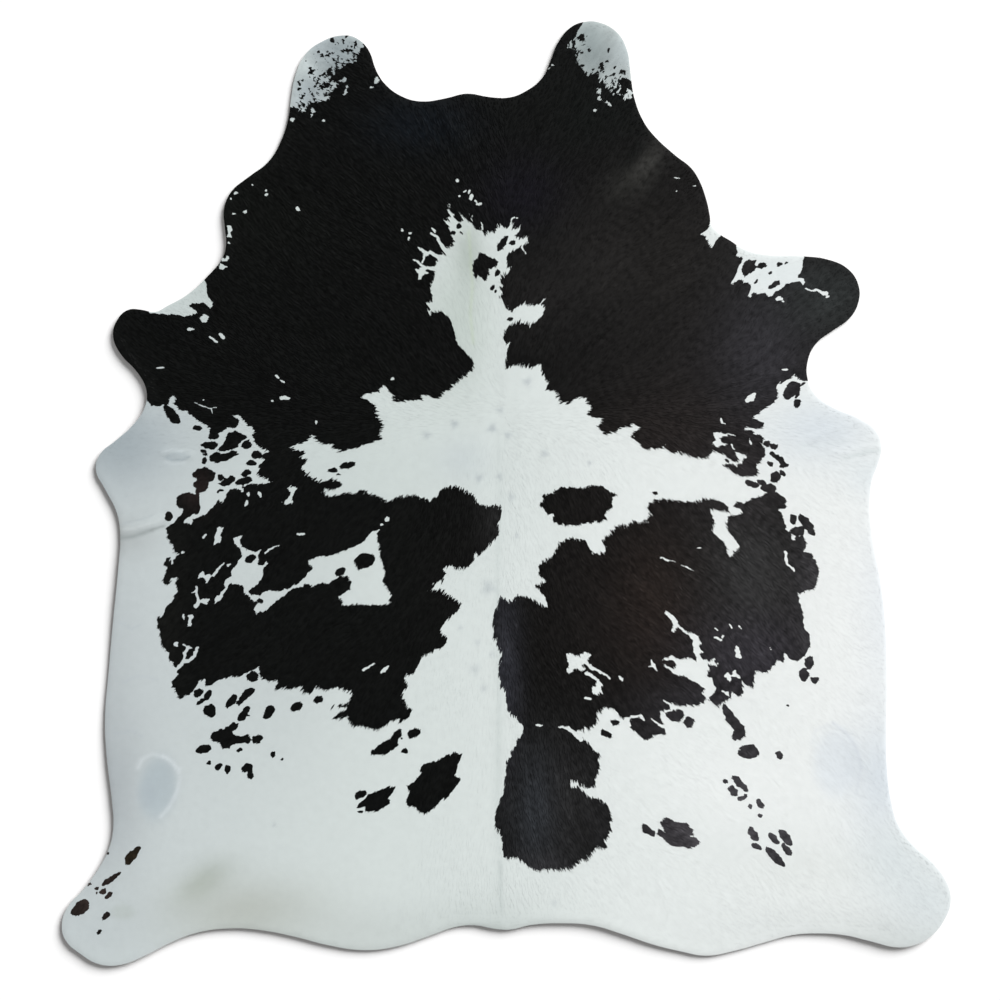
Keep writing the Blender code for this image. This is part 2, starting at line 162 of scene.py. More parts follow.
rightSaddleEdge = [
    (-1.4, -25.5), (-1.2, -24.4), (-0.1, -24.6), (1, -25.6), (1.9, -24.7), (3.1, -23.8), (5.3, -24.4),
    (7.4, -25.3), (9.9, -26.9), (9.5, -24.2), (8.1, -22.8), (6.9, -21.5), (9.5, -20.6), (8.5, -19.6),
    (7.8, -18.8), (7.9, -16.7), (9.5, -15.6), (11, -14.6), (11.9, -13.1), (12.8, -11.5), (14.5, -10.7),
    (17.4, -10.5), (19, -11), (19.5, -12.4), (20.3, -13.5), (19.9, -14.2), (22.4, -14.1), (23.5, -13.5),
    (23.5, -12.1), (22.4, -10.8), (24.5, -9.9), (25.4, -8.5), (26, -7.8), (29.2, -7.3), (30.3, -6.3),
    (32.4, -6.8), (34, -4.9), (33.3, -3.8), (33.5, -2.2), (34.9, -1.5), (37.4, -1.3), (41, -1.7),
    (44.9, -1.8), (47, -1.2), (50.3, -1.7), (52, -3.1), (52.6, -4.4), (50.6, -4), (48.1, -3.8),
    (47.8, -4.6), (48.8, -6), (48.8, -7.4), (47.9, -8.5), (49.9, -10.3), (51.7, -12.4), (51.5, -13.8),
    (52.4, -14.6), (54, -13.5), (54.5, -12.4), (54, -11), (52.4, -9.6), (51.5, -7.4), (51.9, -6),
    (52.8, -5.1), (55.6, -4.9), (53.8, -1.9), (55.5, -2.6), (56.1, -2.4), (57.3, -1.2), (59.5, -0.8),
    (60.9, 0.1), (63.4, 0.3), (65.4, -1), (65.6, -3.3), (63.8, -3.7), (64.8, -5.6), (65.9, -8.5),
    (67.3, -11), (68.1, -10), (69.6, -9.9), (70.4, -11.5), (69.7, -13.5), (71.6, -14), (72.5, -16),
    (73.2, -18.1), (72.7, -21), (71.8, -22.6), (70.2, -22.4), (69, -23.5), (68.2, -23.1), (68.6, -25.6),
    (69.5, -28.5), (69.7, -31.3), (70.9, -33), (71.3, -35.3), (70.6, -36.5), (70, -37.8), (68.1, -39.2),
    (66.4, -38.5), (65.2, -37), (65, -39.6), (63.4, -38.8), (62.5, -40.3), (61.3, -41.5), (59.8, -41.7),
    (58.4, -41.3), (57.9, -43.5), (57.9, -45.3), (56.6, -44.9), (55.2, -43.5), (55.4, -46.7),
    (54.8, -47.4), (52.9, -46.3), (52.3, -47.8), (50.9, -48.7), (49.5, -49.5), (47.4, -48.3),
    (46.7, -49), (43.5, -49.4), (41.7, -49.6), (39.2, -48.8), (38.5, -50.3), (36, -51), (33, -52),
    (30, -51.8), (27.4, -52.4), (25.3, -50.4), (23.5, -49.7), (21.3, -51), (21.7, -52.8), (20.3, -54.2),
    (16, -55.4), (17.4, -56.6), (19.2, -58.1), (20.3, -59.7), (22, -60.7), (21.7, -62), (22.2, -64),
    (21.3, -65.6), (21.1, -67.5), (20.3, -68.8), (18.8, -68.6), (17.4, -67.9), (16, -66.6),
    (15.1, -68.4), (17, -68.6), (18.5, -69.5), (19.7, -70.9), (21, -71), (22.8, -71.8), (23.8, -72.9),
    (24.5, -74.1), (24.6, -76.6), (24.4, -78.8), (23.3, -81.3), (23.8, -82.5), (21.3, -82.5),
    (19.5, -84.5), (17.8, -85.7), (16, -86.8), (14.9, -87.5), (13.1, -87.8), (10.3, -87.5),
    (8.1, -87.8), (5.8, -87.5), (4.2, -85.9), (2.8, -84.8), (-0.5, -84.8), (-0.7, -83.4), (-0.5, -80.2),
    (-1.8, -78.4), (-2.5, -76.3), (-2.1, -74.5), (-1.1, -70.9), (-0.1, -68.8), (0.1, -65.6),
    (0.4, -62.7), (1.7, -60.2), (2.8, -58.1), (4.2, -55.6), (4.4, -54.2), (3.1, -53.1), (2.4, -51.7),
    (0.7, -51), (0.3, -49.2), (0.2, -46.3), (-1.1, -44.9), (-1.4, -42.1), (-1.2, -39.2), (-0.7, -37.4),
    (-1.8, -35.6), (-2.5, -33.5), (-2.9, -30.6), (-2.5, -27.8),
]
darkAreas = {
    "neck, forelegs and left saddle": upperMassEdge + leftSaddleEdge + bandAndBlazeEdge,
    "right saddle and rump": rightSaddleEdge,
}
lightAreas = {
    "left saddle window": [
        (-31.8, -9.9), (-31.1, -8.7), (-29.1, -8.4), (-29.8, -9.9), (-29.6, -11.3), (-29.3, -13.5),
        (-28.4, -16.7), (-27.9, -18.8), (-28.6, -20.6), (-27.1, -22.4), (-26.4, -23.8), (-27.1, -24.7),
        (-26.6, -25.8), (-31.1, -26.1), (-33.9, -25.8), (-37.9, -26), (-38, -24.9), (-38.9, -24.2),
        (-37.5, -23.3), (-35.9, -22.2), (-35.9, -20.6), (-36.8, -19.4), (-38.4, -19.2), (-40.4, -20.3),
        (-41.4, -21.2), (-42.5, -20.6), (-44.8, -21.7), (-46.1, -21), (-48.9, -22.1), (-51.1, -22.8),
        (-52.5, -22.6), (-50.4, -22.1), (-48.6, -21.3), (-46.8, -19.9), (-46.1, -18.5), (-44.8, -17.4),
        (-45.9, -16.3), (-45.7, -15.5), (-43.9, -14.7), (-41.1, -14.6), (-38.9, -13.7), (-37.1, -13.1),
        (-35, -12.4), (-32.9, -11.3)],
    "left saddle side": [
        (-63.4, -10.4), (-61.1, -9.6), (-61.8, -11), (-61.3, -12.6), (-59.9, -13.1), (-58.4, -13.7),
        (-56.8, -13.1), (-57.7, -14.6), (-57.4, -16), (-55, -16), (-56.3, -17.8), (-56.5, -19.6),
        (-58.1, -21.3), (-59.5, -23.5), (-57.4, -23.8), (-55.2, -22.6), (-52.4, -22.6), (-50.2, -22.1),
        (-47.8, -20.6), (-48, -21.3), (-51.3, -23.5), (-53.1, -24.9), (-55.6, -27.1), (-58.1, -28.1),
        (-58.6, -26.9), (-57.7, -25.6), (-60.8, -23.1), (-61.1, -21.3), (-64.2, -21), (-65, -22.4),
        (-65.9, -24.2), (-67.7, -25.8), (-67, -24.2), (-65.4, -22.1), (-65.4, -20.3), (-63.8, -19.2),
        (-63.8, -18.1), (-62.4, -16.3), (-61.3, -14.6), (-61.7, -12.8), (-63.1, -11.7)],
    "left saddle strip": [
        (-67, -7.6), (-65.6, -7.9), (-66.3, -9.6), (-66.3, -11.5), (-68.1, -12.1), (-67.5, -9.9)],
    "right saddle front": [
        (14.4, -37.4), (15.2, -37.1), (16.4, -37.7), (17.4, -37.8), (18.3, -37.3), (18.6, -36.8),
        (19.6, -37.1), (20, -37.8), (19.5, -38.3), (19.3, -39), (19.7, -39.7), (18.6, -39.5),
        (17.9, -40.2), (18.8, -41), (18, -41.6), (16.9, -41.2), (16, -40.8), (15.7, -41.2),
        (15.8, -41.9), (15.1, -42.1), (14.3, -41), (14.7, -40.4), (14.4, -39)],
    "right saddle drop": [
        (21, -44.3), (21.8, -43.6), (22.4, -44.2), (22.9, -44.9), (22.5, -45.6), (23, -46.9),
        (21.9, -46.7), (21, -47.1), (20.3, -46.1), (20.4, -45.2), (21.2, -45)],
    "right saddle back": [
        (36.6, -38.6), (37.6, -38.3), (38.6, -38), (39, -37.5), (39.6, -38), (41.2, -38.6),
        (42.6, -38.2), (44.6, -38.8), (44.2, -37), (43.8, -35.4), (43.8, -34.2), (43.2, -33.4),
        (41.8, -32.4), (40.4, -31.4), (39.7, -31.6), (39.4, -32.5), (38.8, -32.1), (39.1, -31),
        (38.9, -30), (38.1, -28.9), (37, -27.9), (37.6, -27.5), (38.9, -28.2), (39.9, -29), (40.3, -30),
        (41, -31), (42.6, -32.2), (44.3, -32.9), (45.7, -33.2), (44.9, -33.7), (45.9, -34.9),
        (45.3, -35.6), (45.5, -36.3), (46.7, -37.3), (45.4, -37.1), (45.5, -38), (46.4, -38.9),
        (47.3, -39), (47.8, -38.6), (49, -38.9), (49.4, -39.6), (50.1, -40.9), (48.6, -40.1),
        (47.2, -39.7), (47.6, -41), (47.4, -42.4), (48.4, -44), (49.2, -45.2), (48.9, -46.2),
        (48.3, -47), (47.5, -47.3), (47.4, -48.6), (47.1, -49.8), (46.5, -49.8), (46.5, -48.4),
        (46.7, -47.5), (46.1, -46.9), (45.7, -46.2), (46.6, -45.5), (45.6, -44.8), (44.4, -44),
        (43, -43.2), (41.8, -42.3), (41.2, -42.4), (40.4, -42.8), (39.2, -41.8), (38, -40.8),
        (36.8, -40), (37.4, -39.8), (38.6, -40.7), (39.6, -40.7), (39.9, -39.9), (39.6, -39),
        (38.8, -38.8), (37.6, -39.1), (36.7, -38.9)],
    "elbow patch": [
        (48.4, 14.2), (48.9, 13.3), (49.3, 12.5), (48.4, 11.8), (48.2, 11.4), (49.6, 11), (51, 11.2),
        (51.8, 11.6), (50.8, 12), (50.1, 12.6), (50.3, 13), (51.2, 13.3), (52.4, 13.7), (54, 13.2),
        (52.8, 14), (51.6, 13.9), (50.6, 14.2), (50.3, 14.8), (50, 14.1)],
    "right foreleg strip": [
        (54, 60), (53.9, 57), (54.2, 56), (53.9, 55.4), (55, 55.2), (55.2, 55.6), (55.4, 54.6),
        (55, 53.6), (54.2, 52.4), (53.9, 51.2), (53.4, 50), (52.6, 48.9), (53.2, 48.8), (53.9, 49.5),
        (54.6, 50), (55.3, 49.8), (55.6, 49.1), (56.4, 49.2), (57.1, 48.9), (57.4, 48.2), (57.1, 47.2),
        (56.6, 45.9), (57.3, 45.9), (57.5, 46.7), (59, 46.6), (60.9, 46.7), (61.6, 45.8), (62.3, 45.9),
        (62.9, 47.2), (64, 47.4), (64.9, 48.2), (65.7, 49.1), (66.8, 49.3), (68.2, 49.4), (69.2, 49.2),
        (69.5, 48.5), (69.9, 49.4), (69.6, 50.1), (68.3, 50.4), (68.9, 51.6), (69.4, 53), (69.6, 55),
        (69.8, 60)],
    "right shoulder corner": [
        (45.5, 60.5), (46.9, 61.1), (47.5, 62.2), (47.7, 63), (49, 64.5), (52, 62.5), (50.3, 60),
        (49.6, 59.6), (49, 58.9), (48.8, 57.9), (48.1, 57.2), (47.5, 57.9), (47.3, 58.9), (46.8, 59.2),
        (46.4, 60.1)],
    "left saddle star": [
        (-72, -20.1), (-71.3, -18.7), (-70.3, -18), (-70, -19.1), (-68, -18.8), (-68.9, -19.8),
        (-69.5, -21), (-69.9, -19.9), (-71, -19.6)],
    "left saddle fleck": [
        (-72.4, -26.3), (-71.8, -25), (-70.9, -24.9), (-70.2, -24.5), (-68.8, -24.6), (-69.5, -25.8),
        (-71, -25.5), (-72, -26.5)],
    "left saddle notch": [
        (-50.9, 1.3), (-50.2, 1.7), (-48.2, 1.5), (-49.2, 0.4), (-49.6, -1), (-49.4, -2), (-51, -2.5),
        (-51.9, -2.1), (-50.6, -1.2), (-50, -0.4), (-50, 0.7)],
    "left shoulder rim": [
        (-72, 52), (-70.2, 50), (-69.5, 48.6), (-69.6, 46.8), (-69, 45.7), (-67.9, 44.5), (-68.6, 42.9),
        (-70.3, 44.6), (-73.9, 44), (-72, 42.3), (-72.2, 41.8), (-74.5, 41.2), (-75.6, 41.6),
        (-78.8, 41.8), (-83, 42), (-83, 52)],
    "left neck lobe": [
        (-56, 90), (-50, 90), (-47.1, 89.6), (-45, 91.4), (-42.1, 92.1), (-40.7, 93.5), (-38.9, 95.3),
        (-40, 97.4), (-39.3, 99.6), (-37.1, 100.3), (-35, 100.7), (-34.3, 102.4), (-33, 104.2),
        (-31, 112), (-60, 112)],
    "right neck lobe": [
        (16, 116), (18.3, 109.8), (16.7, 107.1), (16, 106), (17, 103.9), (16.7, 100.7), (18.1, 98.9),
        (19.4, 97.1), (20.3, 98.2), (21.7, 97.4), (23.5, 95.3), (24.9, 93.9), (26.3, 93.3),
        (25.6, 95.7), (27, 96.7), (29.2, 96.4), (40, 96), (40, 116)],
}
darkIslands = {
    "blaze": [
        (-7.6, 53.2), (-7.2, 54.4), (-6.6, 54.4), (-6.2, 55.6), (-5, 56), (-3.8, 55.4), (-3.1, 54.6),
        (-2.3, 54.8), (-1.5, 54.1), (-1.9, 53.1), (-3.1, 52.4), (-3.9, 51.9), (-3.4, 51), (-4.3, 50.3),
        (-4.8, 49.3), (-5.4, 50.1), (-6, 50.8), (-6.7, 50.2), (-7.3, 50.9)],
    "left elbow, inner": [
        (-67.4, 9.9), (-65.8, 11.5), (-65.3, 12.8), (-64.4, 14.2), (-62.8, 14.7), (-61.5, 13.9),
        (-60.1, 13.3), (-60.5, 12.1), (-61.9, 11.8), (-62.2, 10.7), (-64, 10.2), (-65.5, 9.8)],
    "left elbow, long": [
        (-69, 8.5), (-68, 9.4), (-66.8, 9.7), (-65, 9.2), (-64, 9.9), (-62.6, 9.9), (-61.9, 9.2),
        (-63.4, 8.6), (-64.5, 7.8), (-66.2, 7.5), (-67.2, 7), (-68.6, 7.4)],
    "left elbow, lower": [
        (-73.1, 4.6), (-71.8, 5.8), (-70, 6.2), (-68.5, 5.5), (-67.3, 4.5), (-68, 3.2), (-69, 2.6),
        (-69.2, 1.4), (-70.4, 0.3), (-72.2, 0.1), (-72, 1.2), (-72.7, 1.5), (-72.5, 2.6), (-71.7, 3.2),
        (-72.9, 3.8)],
    "left belly corner": [
        (-76.7, -2), (-76.3, -0.7), (-75, 0.2), (-73.2, 0.2), (-72.3, -0.3), (-71.6, 0.5),
        (-71.1, -0.6), (-71.4, -1.8), (-71, -3), (-71.3, -4.6), (-72.8, -5), (-74.5, -6.1),
        (-75.3, -7.2), (-77.7, -7.2), (-76.5, -5.8), (-74.9, -4.2), (-75.2, -3.7), (-76.2, -3.4)],
    "right foreleg": [
        (55.2, 51.6), (55.3, 53.2), (56, 54.1), (57, 54.7), (57.6, 54.3), (58.4, 54.7), (58.7, 54.2),
        (58.3, 53.5), (58.9, 53), (58.2, 52.1), (57.5, 51.6), (57, 51.5), (56.6, 50.8), (55.8, 50.7)],
    "spine oval": [
        (12, 0.8), (13.1, 1.4), (17.4, 1.3), (19.9, 1.9), (22.6, 1.8), (24.9, 0.3), (26, -0.4),
        (24.9, -1), (25.1, -3.1), (23.1, -4.7), (23.7, -6), (21.7, -6.6), (18.8, -6.9), (16.3, -7.5),
        (12.8, -7.3), (11.2, -6.7), (11.2, -5.1), (9.9, -4.7), (9, -3.5), (8.1, -2.6), (9, -1.3),
        (8.5, -0.6), (11, 0.1)],
    "rump, inner": [
        (-10, -60.6), (-11.8, -60.4), (-13.9, -61.1), (-16.1, -62.5), (-18.2, -62.6), (-19.5, -63.6),
        (-19.6, -65.2), (-20.9, -67), (-22.9, -68.2), (-22.1, -69.5), (-22.7, -70.6), (-23, -72.7),
        (-21.1, -73.1), (-19.8, -74.4), (-18.2, -74.5), (-16.4, -73.2), (-15, -71.6), (-13.2, -70.7),
        (-12.1, -69.3), (-10.9, -67.7), (-10.1, -66.5), (-11.4, -66.1), (-11.8, -65.6), (-10.9, -63.4)],
    "rump, outer": [
        (-25.2, -68.1), (-27.5, -68.4), (-30.7, -69.8), (-32.1, -70.2), (-32.5, -71.1), (-34.6, -72.7),
        (-34.3, -73.3), (-32.5, -72.9), (-32.7, -74.1), (-31.1, -74.1), (-29.6, -74.1), (-27.9, -72.9),
        (-26.9, -72.3), (-27, -70.9), (-26.1, -69.5)],
    "rump, upper": [
        (-24.3, -54.8), (-23.9, -56.5), (-25, -57.3), (-24.8, -58.6), (-26.1, -59.7), (-27.9, -60.9),
        (-30.9, -60.9), (-31.1, -60.2), (-30, -59), (-27.9, -57.7), (-26.3, -56.8), (-25.9, -55.6)],
    "left flank cluster": [
        (-68.6, -56.8), (-68.1, -55.6), (-66.3, -55), (-64.9, -54.6), (-63.8, -53.5), (-61.8, -53.4),
        (-62.9, -55.2), (-63.4, -55.7), (-62.7, -56.6), (-61.3, -56.6), (-59.9, -55.9), (-59.2, -57.5),
        (-59.9, -58.6), (-60.9, -58.2), (-62.7, -58.4), (-64.2, -59.3), (-65.9, -59.7), (-66.5, -58.2),
        (-68.1, -57.9)],
    "right flank strip": [
        (50.9, -48.8), (52.7, -50.6), (54.1, -52.4), (55.9, -54.4), (56.1, -56.6), (53.8, -57.7),
        (52.9, -57), (53.4, -55.2), (51.6, -52.8), (50.6, -50.3)],
    "right flank blob": [
        (28.9, -53), (29.3, -52.5), (31.2, -52.2), (32.2, -53.1), (32.6, -51.5), (34, -51.2),
        (36, -50.8), (36.4, -52.4), (36.9, -53.6), (37.2, -54.6), (37.4, -56), (36, -56.3),
        (34.6, -56.2), (33.9, -57), (33.3, -57.7), (32.4, -57.5), (31.5, -56.4), (30.2, -55.6),
        (29.5, -54.9), (28.8, -54.1), (29.5, -54.2)],
    "right rump": [
        (36.1, -76.8), (37.4, -75.5), (38.7, -75.7), (39.5, -76.7), (41, -76.6), (42.8, -77.2),
        (43.9, -78.4), (43.7, -79.7), (42.9, -80), (44.4, -80), (45.6, -81.5), (44.5, -82.2),
        (43.5, -82.7), (41, -82.3), (38.8, -82.2), (37.4, -80.9), (35.6, -79.5), (35.6, -78.2),
        (37.4, -79)],
}
# Spots: x, y, long, wide, tilt in degrees.
darkSpots = [
    (-77.6, 18.3, 5.4, 2.2, -50), (-71.8, 15.3, 2.4, 1.2, 0), (-67.9, 13.4, 2.5, 1.8, 0),
    (-68.8, 11.2, 4, 1.7, 0), (-70.3, 9.9, 1.4, 0.9, 0), (-70, 9.2, 1.1, 0.6, 0),
    (-70.1, 7.7, 1.5, 1.2, 60), (-63.9, 16.6, 3.8, 2.7, 0), (-60.3, 11.5, 2.3, 2.2, 0),
    (-57.9, 9, 2.5, 1.9, 0), (-59.2, 7.1, 2.3, 1.3, 0), (-66.3, 3.7, 1.5, 1.3, 90),
    (-64.6, 2.9, 4, 1.6, 25), (-66.4, 0.7, 1.4, 0.8, 20), (-60.3, 4.8, 2.4, 1.4, 25),
    (-60.9, 2.9, 4.2, 1.5, 15), (-78.4, -5.3, 2.2, 1.8, 90), (-78.5, -16.2, 2.5, 1.5, 90),
    (-58.8, -42.7, 2.9, 2.4, 0), (-71.5, -46.5, 2.4, 1.8, 45), (-69.3, -47, 2.6, 1.4, 55),
    (-70.9, -48.5, 2.6, 0.9, 30), (-68.8, -50.6, 2.9, 2.9, 0), (-63.7, -48.3, 3.6, 1.6, 50),
    (-60.2, -46.8, 4.3, 1.8, 40), (-61.8, -48.7, 2, 1.2, 35), (-60.8, -51.4, 4, 2, 55),
    (-55, -50.9, 3.4, 2.2, 60), (-43.5, -48, 2.3, 1.6, 35), (-48.6, -49.7, 3, 1.8, 30),
    (-57.7, -57.3, 2.6, 1.8, 35), (-70.3, -59.6, 3.6, 2, 15), (-69, -62.8, 1.1, 0.8, 0),
    (-66.8, -63.7, 1.9, 1.3, 40), (-64.7, -64.3, 2, 1.5, 90), (-60.1, -63.9, 2.8, 2, 30),
    (-59.4, -65.4, 2.6, 1.3, 90), (-61.8, -59.8, 1.4, 0.8, 0), (-54.1, -60.9, 1.4, 1.2, 90),
    (-52, -62, 0.7, 0.5, 0), (-33.7, -70.2, 3, 1.6, 25), (-33.8, -74.2, 1.2, 0.6, 0),
    (-21.3, -55.9, 3.2, 1.9, 20), (-24.1, -57.2, 0.5, 0.5, 0), (-23.4, -60.1, 1.5, 1.1, 0),
    (-87, -84.5, 5.3, 2, 50), (-92, -90, 5.3, 1.3, 35), (-93.7, -92.8, 1.8, 1.1, 45),
    (-92.4, -93.7, 2.1, 1.1, 45), (-95.2, -92.1, 1, 0.8, 0), (-95.2, -93.1, 0.5, 0.5, 0),
    (-96.8, -91.1, 1.6, 0.7, 45), (-92.7, -83.8, 1, 0.5, 0), (-98.9, -96.6, 4.8, 3, 40),
    (-93, -98.4, 2.2, 1.3, 50), (-94.7, -102.3, 1.5, 0.8, 50), (-36.7, 6.6, 3.7, 1.5, 10),
    (-40.1, 5.4, 2.3, 1, 0), (-38.9, 4.4, 1.1, 0.5, 0), (-1.8, 51.4, 1.8, 1, 50),
    (-2.9, 48, 1.7, 1, 50), (-2.3, 47.1, 0.9, 0.6, 60), (-10.7, 62.3, 1.3, 1.1, 60),
    (-12.1, 60.8, 1.2, 1, -20), (-10.1, 60.7, 1.1, 0.4, -50), (-0.6, 58.2, 4.2, 1.4, 56),
    (1.7, 58.4, 1.4, 1.2, 0), (1.1, 40.6, 1.5, 0.7, 20), (34.9, 0.1, 1.2, 0.8, 0),
    (54.5, -2.7, 2, 1.6, 0), (67.2, -6, 2.4, 1.6, 90), (70.4, -7.2, 5.8, 2, -52),
    (68.2, -8.8, 3.4, 2, 0), (61.1, 11.6, 1.6, 1.5, 0), (62.6, 11, 2.1, 1.4, -20),
    (63.7, 8.2, 4.6, 1.3, -36), (65, 6.5, 2, 1, 15), (61.8, 6.8, 1.5, 1.1, -35),
    (63.1, 3.9, 2.6, 2.4, 60), (64.7, 4.7, 1.8, 0.9, -50), (57.5, 2.2, 3.4, 1.4, -20),
    (59.8, 2.7, 2.6, 1, -30), (61.6, 1.2, 3.6, 2.2, -10), (66.9, 24.2, 5, 3, 45),
    (68.1, 21, 2, 1.8, 90), (68.2, 22.9, 1.6, 0.8, 60), (69.4, 25.4, 1.6, 0.5, 40),
    (51.8, 7.6, 0.9, 0.6, -30), (70.9, -39.4, 3, 2, 90), (69.7, -42.2, 3.2, 2.2, 90),
    (72.2, -43.5, 1.8, 1.6, 0), (39.6, -51.7, 4.3, 2.8, 0), (42.9, -53.4, 2.7, 2.3, 90),
    (25.7, -53.4, 1.8, 1.2, 0), (23.5, -56, 2.8, 1.6, -30), (33.4, -78.6, 4, 1.8, -40),
    (56.8, -60.2, 5, 3.3, 0), (64, -61, 2.1, 1.4, -50), (54.7, -67.6, 5, 1.6, -45),
    (51.5, -67.1, 1.1, 1.1, 0), (53.2, -69.4, 2.8, 1.7, -55), (55, -71.1, 1.9, 1.1, 0),
    (56.1, -70.6, 1.2, 0.8, 90), (59.5, -72.4, 2.7, 1.4, -50), (57.2, -73, 1, 1, 0),
    (59.5, -75.1, 1, 0.8, 0), (57.9, -79.4, 3.8, 1.9, -55), (58.6, -82.3, 2.6, 1.2, -30),
    (62.6, -80.4, 3.4, 1.5, -50), (65.4, -80.2, 4.6, 1.9, -52), (65.7, -83.1, 3.4, 1.5, -52),
    (63, -84.7, 6.2, 1.8, -45), (59.9, 53.1, 2, 1.5, 0), (64.1, 53.5, 1.5, 1, 30),
    (65.6, 53.7, 1, 0.5, 30), (61.8, 51.5, 0.9, 0.6, 10), (58.6, 49.5, 1.3, 0.7, 60),
    (62.8, 48.7, 3.3, 1.2, 33), (-40.2, 105.7, 1.2, 0.9, 90), (-37.1, 106.4, 1.2, 0.5, 0),
    (-34.8, 104.9, 0.5, 0.5, 0), (-43.6, 103, 0.5, 0.5, 0), (-41.1, 102.1, 1, 0.6, 0),
    (-38.8, 101.2, 1.2, 1.2, 0), (-45.2, 98.7, 1.4, 0.6, -55), (-44.7, 98.4, 2, 0.7, 45),
    (-41.1, 98.2, 1.8, 1.1, 50), (-42.8, 97.2, 1.3, 0.6, 60), (-42.3, 95.2, 1.8, 0.9, 25),
    (-41, 95.1, 1.6, 0.9, 60), (-39.7, 97.2, 2.2, 1.5, 30), (-38.7, 101, 1.6, 0.7, -40),
    (-48, 94.1, 0.9, 0.5, 40), (-46.2, 93.4, 0.8, 0.5, 0), (-47.1, 92.6, 1.7, 0.6, 55),
    (-40, 102.7, 0.9, 0.4, 70), (-36.4, 103.3, 1.6, 1, 0), (17.8, 106.2, 1.8, 1.6, 0),
    (22.6, 99.6, 1.8, 1, 90), (24.1, 103.3, 1.3, 0.4, 90), (23.8, 100.7, 0.7, 0.7, 0),
    (27.6, 98.2, 1.2, 0.9, 0), (26.7, 95.3, 2.2, 2.2, 0), (28.5, 96, 1.8, 1, 0),
    (18.1, 99.8, 1, 0.6, 0), (-32.8, -15.7, 4.8, 3.4, 20), (-38.4, -18.3, 2.6, 1.6, 30),
    (-59.4, -15.2, 2.7, 1.6, 30), (-56.9, -16.3, 1.7, 0.9, 10), (-58.8, -22.6, 2, 1.1, 40),
    (-57.1, -25, 1.6, 0.9, 0), (-63.1, 0, 3.6, 2.3, 15), (65.9, -49.3, 0.6, 0.5, 0),
    (-35, 105, 0.8, 0.6, 0), (-46.4, 100.7, 0.5, 0.4, 0), (-43.3, 103, 0.7, 0.4, 60),
    (19.6, 103.6, 0.7, 0.5, 30), (20.4, 98.4, 0.8, 0.5, 60), (25.6, 99.4, 0.6, 0.5, 0),
    (16.4, 101.9, 0.6, 0.4, 0),
]
